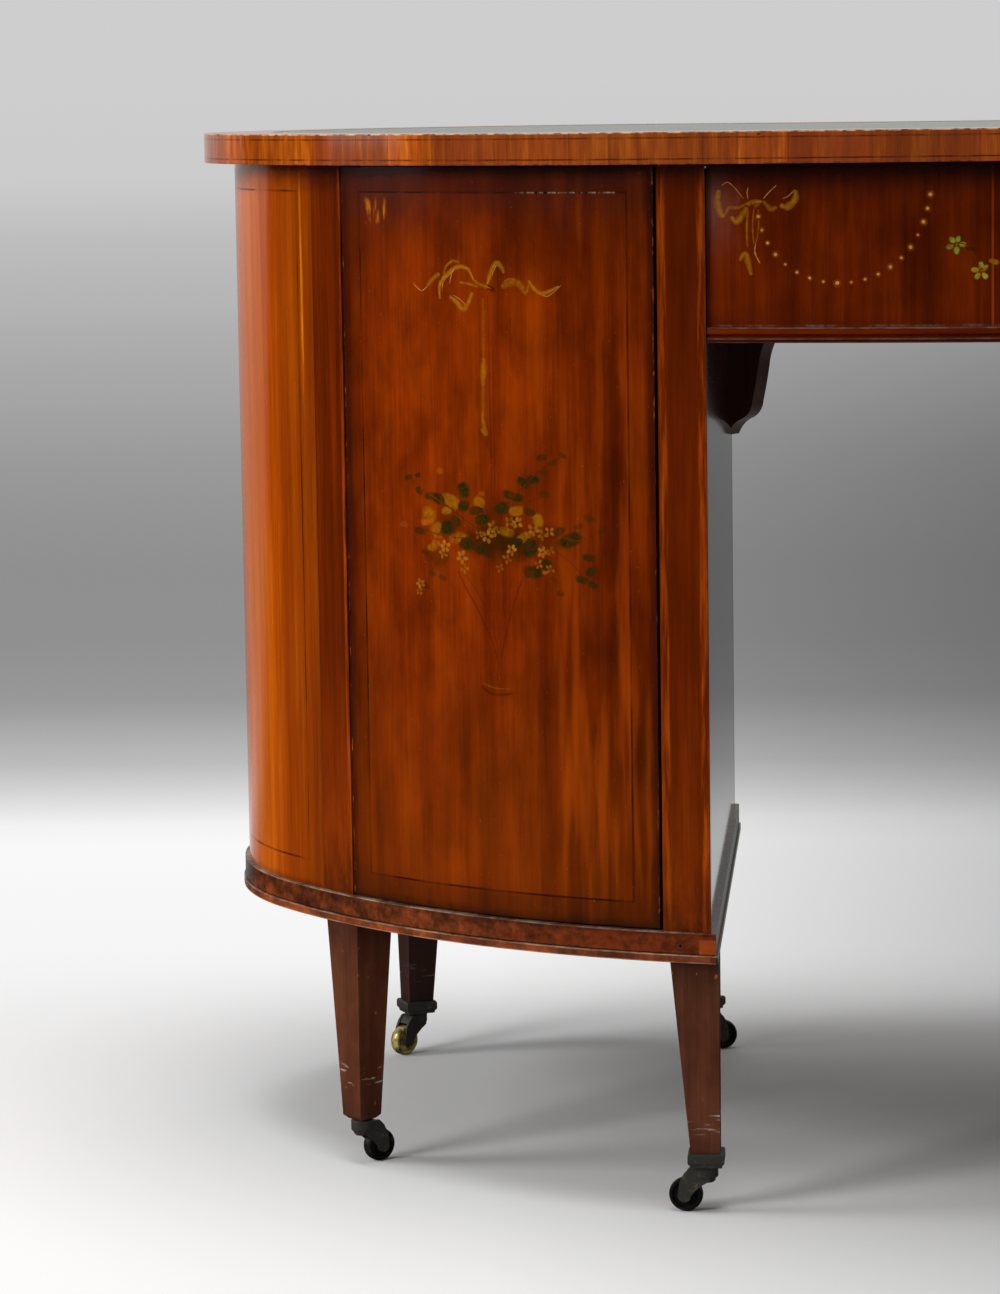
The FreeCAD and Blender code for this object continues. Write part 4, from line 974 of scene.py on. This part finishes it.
class Painting:
    # Thin closed patches that lie on a curved front; place(x, z, proud) puts a point there
    def __init__(self, drawing, place):
        self.place = place
        self.mesh = bmesh.new()
        self.tones = self.mesh.verts.layers.float_color.new("paintTone")
        self.covers = self.mesh.verts.layers.float.new("paintCover")
        self.chance = random.Random(drawing["seed"])
        self.breadth = drawing["breadth"]
        self.lift = 0.0
        self.normals = []
        for x, z, wide, tall, colour, cover, *petals in drawing["spots"]:
            if petals:
                self.flower(Vector((x, z)), wide, tall, colour, cover * 0.92, *petals)
            else:
                size, turn = drawing["leafSize"], self.chance.uniform(-0.7, 0.7)
                self.blot(Vector((x, z)), wide * size, tall * size, colour, cover, turn, 0.25)
            self.lift += paintStep
        for points, width, colour, cover in drawing["strokes"]:
            self.stroke(points, width, colour, cover)
            self.lift += paintStep

    def point(self, spot, proud, colour, cover=0.0):
        x, z = spot.x / 1000, spot.y / 1000
        vert = self.mesh.verts.new(self.place(x, z, proud))
        self.normals.append((self.place(x, z, proud + 0.001) - vert.co).normalized())
        vert[self.tones] = colour
        vert[self.covers] = cover
        return vert

    def stroke(self, points, width, colour, cover):
        # A brush stroke, thin at both ends
        path = smoothed(points)
        count = len(path) - 1
        width *= 0.8 if colour == paleGold else self.breadth
        rows = []
        for k, spot in enumerate(path):
            way = (path[min(k + 1, count)] - path[max(k - 1, 0)]).normalized()
            swell = math.sin(math.pi * min(max(k / count, 0.04), 0.96)) ** 0.5
            out = Vector((-way.y, way.x)) * (width / 2 * (0.35 + 0.65 * swell) * self.chance.uniform(0.85, 1.15))
            rows.append((self.point(spot - out, paintRim, colour, cover * 0.25),
                         self.point(spot, paintCrown + self.lift, colour, cover),
                         self.point(spot + out, paintRim, colour, cover * 0.25),
                         self.point(spot + out, paintUnder, colour),
                         self.point(spot - out, paintUnder, colour)))
        for first, second in zip(rows, rows[1:]):
            for k in range(5):
                self.mesh.faces.new((first[k], first[(k + 1) % 5], second[(k + 1) % 5], second[k]))
        self.mesh.faces.new(rows[0])
        self.mesh.faces.new(rows[-1])

    def blot(self, middle, wide, tall, colour, cover, turn=0.0, tip=0.0, sides=12):
        # A leaf, petal or dab: dense in the middle and soft at its rim
        across = Vector((math.cos(turn), math.sin(turn)))
        up = Vector((-across.y, across.x))

        def spotAt(k, share):
            angle = 2 * math.pi * k / sides
            pull = 1 - tip * abs(math.sin(angle)) ** 1.5
            return middle + across * (wide * share * math.cos(angle)) + up * (tall * share * math.sin(angle) * pull)

        rings = []
        for share, strength in leafRings:
            ring = []
            for k in range(sides):
                spot = spotAt(k, share)
                spot = spot + (spot - middle) * self.chance.uniform(-0.10, 0.10)
                proud = paintCrown + self.lift if share < 1 else paintRim
                ring.append(self.point(spot, proud, colour, cover * strength))
            rings.append(ring)
        centre = self.point(middle, paintCrown + 0.000001 + self.lift, colour, cover)
        rings.append([self.point(spotAt(k, 1.0), paintUnder, colour) for k in range(sides)])
        for k in range(sides):
            after = (k + 1) % sides
            self.mesh.faces.new((centre, rings[0][k], rings[0][after]))
            for inner, beyond in zip(rings, rings[1:]):
                self.mesh.faces.new((inner[k], beyond[k], beyond[after], inner[after]))
        self.mesh.faces.new(rings[-1])

    def flower(self, middle, wide, tall, colour, cover, petals):
        turn = self.chance.uniform(0, math.pi)
        for k in range(petals):
            angle = turn + 2 * math.pi * k / petals
            angle += self.chance.uniform(-0.25, 0.25)
            spot = middle + Vector((math.cos(angle) * wide, math.sin(angle) * tall)) * self.chance.uniform(0.62, 0.85)
            self.blot(spot, wide * 0.58, tall * 0.44, colour, cover * self.chance.uniform(0.6, 1.0), angle, 0.0, 8)
            self.lift += paintStep

    def finish(self, name, material):
        piece = linked(name, self.mesh, material)
        # the paint shades with the front that it lies on, so its thin sides never glint
        piece.data.normals_split_custom_set_from_vertices(self.normals)
        return piece


def paintedMaterial(name, ground):
    # Worn paint over the veneer that it lies on
    material, shader = polish(name)
    coat = ground()
    paint = Field(add("ShaderNodeAttribute", attribute_name="paintTone"), "Color")
    cover = Field(add("ShaderNodeAttribute", attribute_name="paintCover"), "Fac")
    worn = spread(grain(0.0016, 0.0022, 163), 0.32, 0.48, 0.68, 1.0)
    patchy = spread(grain(0.008, 0.012, 167), 0.34, 0.52, 0.72, 1.0)
    shade = spread(grain(0.003, 0.003, 171, 2, 0.5), 0.35, 0.65, 0.78, 1.2)
    coat.tint(cover * worn * patchy, dim(paint, shade))
    finished(shader, coat.colour, coat.height)
    return material


def paintDoors():
    material = paintedMaterial("doorPaint", doorColour)
    for side, way in sides.items():
        for name, drawing in (("ribbon_knot", ribbonKnot), ("flower_basket", basketSpray)):
            def place(x, z, proud):
                spot = pedestalSpot(drawing["along"] - x, proud)
                return Vector((spot.x * -way, spot.y, drawing["height"] + z))
            piece = Painting(drawing, place).finish("%s_door_%s" % (side, name), material)
            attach(piece, side + "_door")


def pearlTree():
    # Pearls strung evenly along a swag, each a dab with a soft halo
    group = workIn(bpy.data.node_groups.new("pearlSwag", "GeometryNodeTree"))
    group.interface.new_socket("Geometry", in_out="OUTPUT", socket_type="NodeSocketGeometry")
    sockets = {}
    for name, kind in (("Count", "Int"), ("Radius", "Float"), ("Start", "Vector"), ("First", "Vector"),
                       ("Second", "Vector"), ("End", "Vector"), ("Paint", "Material")):
        sockets[name] = group.interface.new_socket(name, in_out="INPUT", socket_type="NodeSocket" + kind).identifier
    given = add("NodeGroupInput").outputs
    swag = add("GeometryNodeCurvePrimitiveBezierSegment", {
        "Start": given["Start"], "Start Handle": given["First"], "End Handle": given["Second"], "End": given["End"]})
    even = add("GeometryNodeResampleCurve", {"Curve": swag, "Count": given["Count"]})
    dab = add("GeometryNodeMeshUVSphere", {"Segments": 10, "Rings": 6, "Radius": given["Radius"]})
    size = Field(add("FunctionNodeRandomValue", {2: 0.65, 3: 1.12, "Seed": 6}, data_type="FLOAT"), 1)
    strung = add("GeometryNodeInstanceOnPoints", {"Points": even, "Instance": dab, "Scale": size})
    real = add("GeometryNodeRealizeInstances", {0: strung})
    add("NodeGroupOutput", {0: add("GeometryNodeSetMaterial", {"Geometry": real, "Material": given["Paint"]})})
    return group, sockets


def strungSwag(material, radius):
    # The swag in millimetres, as a plain mesh
    group, sockets = pearlTree()
    carrier = bpy.data.objects.new("swag", bpy.data.meshes.new("swag"))
    bpy.context.scene.collection.objects.link(carrier)
    modifier = carrier.modifiers.new("pearls", "NODES")
    modifier.node_group = group
    modifier[sockets["Count"]] = pearls["count"]
    modifier[sockets["Radius"]] = radius
    modifier[sockets["Paint"]] = material
    for name in ("Start", "First", "Second", "End"):
        modifier[sockets[name]] = (*pearls[name.lower()], 0.0)
    carrier.update_tag()
    evaluated = carrier.evaluated_get(bpy.context.evaluated_depsgraph_get())
    swag = bpy.data.meshes.new_from_object(evaluated)
    bpy.data.objects.remove(carrier)
    return swag


def paintFrieze():
    material = paintedMaterial("friezePaint", friezeColour)
    for side, way in sides.items():
        def place(x, z, proud):
            spot = friezeSpot(friezeKnot["middle"] + x, proud)
            return Vector((spot.x * -way, spot.y, friezeKnot["height"] + z))
        painting = Painting(friezeKnot, place)
        for radius, colour, cover, lift in pearls["layers"]:
            swag = strungSwag(material, radius)
            # each pearl is pressed flat on to the frieze's curve
            points = []
            for vert in swag.vertices:
                height = vert.co.z / radius
                proud = lift + (pearls["swell"] * height if height > 0 else paintUnder * min(1.0, -height * 2))
                points.append(painting.point(vert.co.xy, proud, colour, cover * max(0.0, height) ** 0.5))
            for polygon in swag.polygons:
                painting.mesh.faces.new([points[k] for k in polygon.vertices])
            bpy.data.meshes.remove(swag)
        piece = painting.finish(side + "_frieze_ribbon_and_pearls", material)
        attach(piece, "desk")


paintDoors()
paintFrieze()


print("casters and knobs")
creaseAngle = 35
caster = {
    "bossRadius": 0.0083, "bossTop": 0.0337, "bossLow": 0.0213, "bossSkirt": 0.004, "bossSoft": 0.0012,
    "eyeRadius": 0.0050, "halfWidth": 0.0068, "slotHalf": 0.0046, "cheekTop": (-0.0045, 0.0074),
    "wheelRadius": 0.0122, "wheelHalf": 0.0043, "treadSoft": 0.0016, "treadTurn": 65,
    "turns": 48, "rivetTurns": 24, "play": 0.0002, "lap": 0.0001,
    # radius and height of the washer under the boss, and of the rivet at each end of the axle
    "washer": ((0, 0), (0.0052, 0.0006), (0.0064, 0.0018), (0.0066, 0.0062), (0, 0.0063)),
    "rivet": ((0, 0), (0.0022, 0), (0.0026, 0.0004), (0.0019, 0.0006)),
    # the wheel's dished face: radius, and share of the half width
    "face": ((0.0094, 0.96), (0.0086, 0.55), (0.0047, 0.62), (0.0042, 0.9), (0.0021, 0.9)),
    # back and front of a cheek, and the bridge that joins the two cheeks above the wheel
    "hornBack": ((0.0110, 0.0325), (0.0150, 0.0285), (0.0182, 0.0225)),
    "hornFront": ((0.0062, 0.0168), (0.0010, 0.0208), (-0.0040, 0.0236)),
    "bridge": ((-0.0040, 0.0325), (0.0074, 0.0325), (0.0108, 0.0318), (0.0140, 0.0288), (0.0150, 0.0262),
               (0.0110, 0.0262), (0.0050, 0.0256), (0.0, 0.0240)),
}


def turned(mesh, outline, turns):
    # Spin (radius, height) points about Z into a closed shape; a radius of 0 closes the end
    rings = []
    for radius, height in outline:
        angles = [2 * math.pi * k / turns for k in range(turns if radius > 1e-6 else 1)]
        rings.append([mesh.verts.new((radius * math.cos(a), radius * math.sin(a), height)) for a in angles])
    for low, high in zip(rings, rings[1:]):
        for k in range(turns):
            after = (k + 1) % turns
            if len(low) == 1 and len(high) > 1:
                mesh.faces.new((low[0], high[after], high[k]))
            elif len(high) == 1 and len(low) > 1:
                mesh.faces.new((low[k], low[after], high[0]))
            elif len(low) > 1:
                mesh.faces.new((low[k], low[after], high[after], high[k]))


def slab(mesh, outline, near, far):
    # A flat outline in X and Z, given a thickness from one Y to another
    sheets = [[mesh.verts.new((x, y, z)) for x, z in outline] for y in (near, far)]
    for k in range(len(outline)):
        after = (k + 1) % len(outline)
        mesh.faces.new((sheets[0][k], sheets[0][after], sheets[1][after], sheets[1][k]))
    mesh.faces.new(sheets[0])
    mesh.faces.new(sheets[1][::-1])


def rounded(radius, low, high, soft, steps=4):
    # Outline of a disc with softened rims, closed at both ends
    turns = [math.pi / 2 * k / steps for k in range(steps + 1)]
    under = [(radius - soft + soft * math.sin(turn), low + soft - soft * math.cos(turn)) for turn in turns]
    over = [(radius - soft + soft * math.cos(turn), high - soft + soft * math.sin(turn)) for turn in turns]
    return [(0, low)] + under + over + [(0, high)]


def cheek(mesh, trail, near, far):
    # One side of the horn: from under the boss it curves back and down to the axle's eye
    c = caster
    turns = [math.radians(25 - 205 * k / 8) for k in range(9)]
    reach = c["eyeRadius"] * 0.98
    eye = [(trail + math.cos(turn) * reach, c["wheelRadius"] + math.sin(turn) * reach) for turn in turns]
    edge = [(x, c["bossTop"] - c["bossSoft"]) for x in c["cheekTop"]]
    back = [point for point in c["hornBack"] if point[0] < trail + c["eyeRadius"]]
    slab(mesh, edge + back + eye + list(c["hornFront"]), near, far)


def makeCaster(side, k, treadMetal):
    c = caster
    name = "%s_caster_%d_" % (side, k)
    swivel, roll = (Vector(joints[name + way]["pos_m"]) for way in ("swivel", "roll"))
    run = Vector((roll.x - swivel.x, roll.y - swivel.y, 0))
    place = Matrix.Translation((swivel.x, swivel.y, 0)) @ Matrix.Rotation(math.atan2(run.y, run.x), 4, "Z")
    hub = Matrix.Translation((run.length, 0, c["wheelRadius"])) @ Matrix.Rotation(math.pi / 2, 4, "X")
    # axle with a riveted head on each side
    fork = bmesh.new()
    head = c["halfWidth"] - c["play"]
    rivets = [(radius, -head + up) for radius, up in c["rivet"]]
    rivets += [(radius, head - up) for radius, up in c["rivet"][::-1]]
    turned(fork, rivets, c["rivetTurns"])
    bmesh.ops.transform(fork, matrix=hub, verts=fork.verts)
    turned(fork, rounded(c["bossRadius"], c["bossLow"] + c["bossSkirt"], c["bossTop"], c["bossSoft"]), c["turns"])
    turned(fork, [(radius, c["bossLow"] + up) for radius, up in c["washer"]], c["turns"])
    for way in (1, -1):
        cheek(fork, run.length, way * c["slotHalf"], way * c["halfWidth"])
    slab(fork, c["bridge"], -c["slotHalf"] - c["lap"], c["slotHalf"] + c["lap"])
    bmesh.ops.transform(fork, matrix=place, verts=fork.verts)
    wheel = bmesh.new()
    r, h = c["wheelRadius"], c["wheelHalf"]
    turns = [math.radians(c["treadTurn"] * (n / 4 - 1)) for n in range(9)]
    half = (h - c["play"]) / math.sin(turns[-1])
    tread = [(r - c["treadSoft"] * (1 - math.cos(turn)), half * math.sin(turn)) for turn in turns]
    face = [(radius, h * share) for radius, share in c["face"]]
    back = [(radius, -height) for radius, height in face[::-1]]
    turned(wheel, back + tread + face + back[:1], c["turns"])
    bmesh.ops.remove_doubles(wheel, verts=wheel.verts, dist=1e-6)
    bmesh.ops.transform(wheel, matrix=place @ hub, verts=wheel.verts)
    for look, mesh, metal, node, slot in (("horn", fork, bronze, "fork", "caster_bronze"),
                                          ("roller", wheel, treadMetal, "wheel", "caster_brass")):
        piece = linked(name + look, mesh, metal, creaseAngle)
        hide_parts(name + node)
        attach(piece, name + node)


knob = {
    "outline": (
        (0, -0.0008), (0.0065, -0.0008), (0.0064, 0.0), (0.0063, 0.0062), (0.0072, 0.0082), (0.0100, 0.0096),
        (0.0126, 0.0104), (0.01305, 0.0118), (0.01315, 0.0142), (0.0130, 0.0166), (0.0118, 0.0182),
        (0.0092, 0.0194), (0.0063, 0.0201), (0.0040, 0.0199), (0.0030, 0.0203), (0.0015, 0.0205), (0, 0.0205),
    ),
    "turns": 48, "spacing": 0.5, "gap": 0.001, "sunk": 0.006,
}


def makeKnob(name, seat, way, body, material):
    # A turned knob fitted over the plain one, square to its front
    mesh = bmesh.new()
    turned(mesh, knob["outline"], knob["turns"])
    turn = way.to_track_quat("Z", "Y").to_matrix().to_4x4()
    bmesh.ops.transform(mesh, matrix=Matrix.Translation(seat) @ turn, verts=mesh.verts)
    piece = linked(name, mesh, material, creaseAngle)
    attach(piece, body)


def makeKnobs():
    material = veneerMaterial("turnedKnobWood", plainWood(stileWood), 0.4, 0.8, 0.1)
    shares = ((1, -knob["spacing"]), (2, knob["spacing"]))
    for side, way in sides.items():
        for name in drawerNames:
            low, high = boxOf("left_%s_drawer_front" % name)
            middle, half = (low.x + high.x) / 2, (high.x - low.x) / 2 + knob["gap"]
            for n, share in shares:
                out = outward(math.pi + math.asin((middle + share * half - lobeCentre.x) / plan["lobeRadius"]))
                seat = lobeCentre + out * plan["lobeRadius"]
                body = "%s_%s_drawer" % (side, name)
                makeKnob("%s_knob_%d" % (body, n), Vector((seat.x * -way, seat.y, (low.z + high.z) / 2)),
                         Vector((out.x * -way, out.y, 0)), body, material)
    low, high = boxOf("frieze_drawer_front")
    reach = math.sqrt(hollowRadius ** 2 - knob["sunk"] ** 2)
    for n, share in shares:
        turn = math.asin(share * plan["kneeHalf"] / hollowRadius)
        out = Vector((-math.sin(turn), math.cos(turn), 0))
        seat = hollowCentre - out * reach
        seat.z = (low.z + high.z) / 2
        makeKnob("frieze_drawer_knob_%d" % n, seat, out, "frieze_drawer", material)


# caster 3's tread brass is paler than the others: worn metal, with a painted highlight
wornAndLitBrass = metalMaterial("wornAndLitBrassTread", tone(84, 76, 52), tone(222, 196, 120), 0.30, 0.44)
dullBrass = metalMaterial("dullBrassTread", tone(30, 28, 26), tone(104, 90, 60), 0.36, 0.56)
for side in sides:
    for k in (1, 2, 3, 4):
        makeCaster(side, k, wornAndLitBrass if k == 3 else dullBrass)
makeKnobs()


print("studio: floor, lamps, world and camera")
studio = {
    "floorReach": 40.0,
    "floorTone": 0.90,
    # place, size and power of each lamp; all point at the target
    "lamps": (("key", (-3.0, -2.6, 1.7), (1.2, 1.4), 66.0),
              ("side", (-2.9, -0.4, 1.5), (0.8, 1.6), 24.0),
              ("over", (-0.3, -0.25, 3.2), (2.0, 1.8), 62.0)),
    "target": (0, 0, 0.45),
    "ambient": 0.20,
    # the sweep behind: distance in metres and how bright it is
    "sweep": ((0.0, 0.86), (0.95, 0.93), (1.35, 0.955), (1.62, 0.66), (1.84, 0.497), (2.35, 0.314), (3.0, 0.278),
              (3.9, 0.275), (5.5, 0.31), (7.8, 0.371), (13.0, 0.46), (27.0, 0.565), (36.0, 0.600)),
    "sky": ((0.0, 0.600), (0.1, 0.615), (1.0, 0.632)),
    # what polished wood sees of the room, from the front to the back
    "room": ((0.0, 0.01), (0.70, 0.012), (0.86, 0.44), (1.0, 0.60)),
}
# The camera that was fitted to the photograph: angles in radians, lens and sensor in millimetres
shot = {
    "place": (-0.158709, -3.292053, 0.795883), "down": 0.1281, "turn": -0.0851, "roll": -0.0149,
    "lens": 121.563, "sensor": 36.0, "farthest": 200,
}


def grey(value):
    return (value, value, value, 1)


def shining(kind, colour):
    return add(kind, {"Color": colour, "Strength": 1.0})


def shaderMix(share, first, second):
    return add("ShaderNodeMixShader", {0: share, 1: first, 2: second})


def makeFloor():
    mesh = bpy.data.meshes.new("studioFloor")
    reach = studio["floorReach"]
    corners = [(-reach, -reach, 0), (reach, -reach, 0), (reach, reach, 0), (-reach, reach, 0)]
    mesh.from_pydata(corners, [], [(0, 1, 2, 3)])
    floor = bpy.data.objects.new("studioFloor", mesh)
    bpy.context.scene.collection.objects.link(floor)
    material = bpy.data.materials.new("studioFloorPaper")
    material.use_nodes = True
    workIn(material.node_tree).nodes.clear()
    x, y = parts(position())[:2]
    # Behind the desk the paper turns into a glowing sweep of painted light that falls off and rises again, with
    # painted shade on the right
    away = distance(x * 0.35, y)
    end = studio["sweep"][-1][0]
    shade = ramp(spread(away, 0.0, end), [(place / end, value) for place, value in studio["sweep"]])
    fan = (x + 0.16) / (highest(y, -1.5) + 3.3)
    darker = spread(fan, -0.09, 0.04, 0.0, 0.42) * spread(away, 6.0, 22.0, 1.0, 0.2)
    shade = dim(shade, 1.0 - darker)
    tint = dim(grey(studio["floorTone"])[:3], 1.0 - darker * 0.5)
    paper = add("ShaderNodeBsdfPrincipled", {"Base Color": tint, "Roughness": 0.75, "Specular IOR Level": 0.1})
    path = add("ShaderNodeLightPath").outputs
    # for the camera the floor behind the desk glows with the sweep, painted light that also covers the desk's shadow
    # there
    behind = spread(away, 0.32, 0.74, smooth=True) * spread(y, -0.4, 0.4, smooth=True)
    seen = shaderMix(behind * path["Is Camera Ray"], paper, shining("ShaderNodeEmission", shade))
    # The floor glows for glossy rays too: polished wood sees the pale sweep behind the desk and a dark room before it
    bright = spread(y - abs(x) * 0.55, 0.0, 0.8, 0.012, 0.72, smooth=True)
    mirrored = shining("ShaderNodeEmission", dim(shade, bright))
    add("ShaderNodeOutputMaterial", {0: shaderMix(path["Is Glossy Ray"], seen, mirrored)})
    mesh.materials.append(material)


def makeLamp(name, place, size, power):
    data = bpy.data.lights.new(name + "Lamp", "AREA")
    data.shape = "RECTANGLE"
    data.size, data.size_y = size
    data.energy = power
    lamp = bpy.data.objects.new(name + "Lamp", data)
    lamp.visible_glossy = name == "side"  # the others are too diffuse to show in the polish
    bpy.context.scene.collection.objects.link(lamp)
    lamp.location = place
    lamp.rotation_euler = (Vector(studio["target"]) - Vector(place)).to_track_quat("-Z", "Y").to_euler()


def makeWorld():
    world = bpy.data.worlds.new("studioWorld")
    bpy.context.scene.world = world
    world.use_nodes = True
    world.cycles.sampling_method = "NONE"
    workIn(world.node_tree).nodes.clear()
    y, z = parts(Field(add("ShaderNodeTexCoord"), "Generated"))[1:]
    ambient = shining("ShaderNodeBackground", grey(studio["ambient"]))
    sky = shining("ShaderNodeBackground", ramp(spread(z, -0.02, 0.2), studio["sky"]))
    room = shining("ShaderNodeBackground", ramp(spread(y, -1.0, 1.0), studio["room"]))
    path = add("ShaderNodeLightPath").outputs
    clear = highest(path["Is Camera Ray"], path["Is Transmission Ray"])
    add("ShaderNodeOutputWorld", {0: shaderMix(clear, shaderMix(path["Is Glossy Ray"], ambient, room), sky)})


def makeCamera():
    data = bpy.data.cameras.new("photoCamera")
    data.lens = shot["lens"]
    data.sensor_width = shot["sensor"]
    data.sensor_fit = "AUTO"
    data.clip_end = shot["farthest"]
    camera = bpy.data.objects.new("photoCamera", data)
    bpy.context.scene.collection.objects.link(camera)
    aim = Matrix.Rotation(-shot["turn"], 4, "Z") @ Matrix.Rotation(math.pi / 2 - shot["down"], 4, "X")
    camera.matrix_world = Matrix.Translation(shot["place"]) @ aim @ Matrix.Rotation(shot["roll"], 4, "Z")
    bpy.context.scene.camera = camera


makeFloor()
for lampSettings in studio["lamps"]:
    makeLamp(*lampSettings)
makeWorld()
makeCamera()
bpy.context.scene.view_settings.view_transform = "Standard"
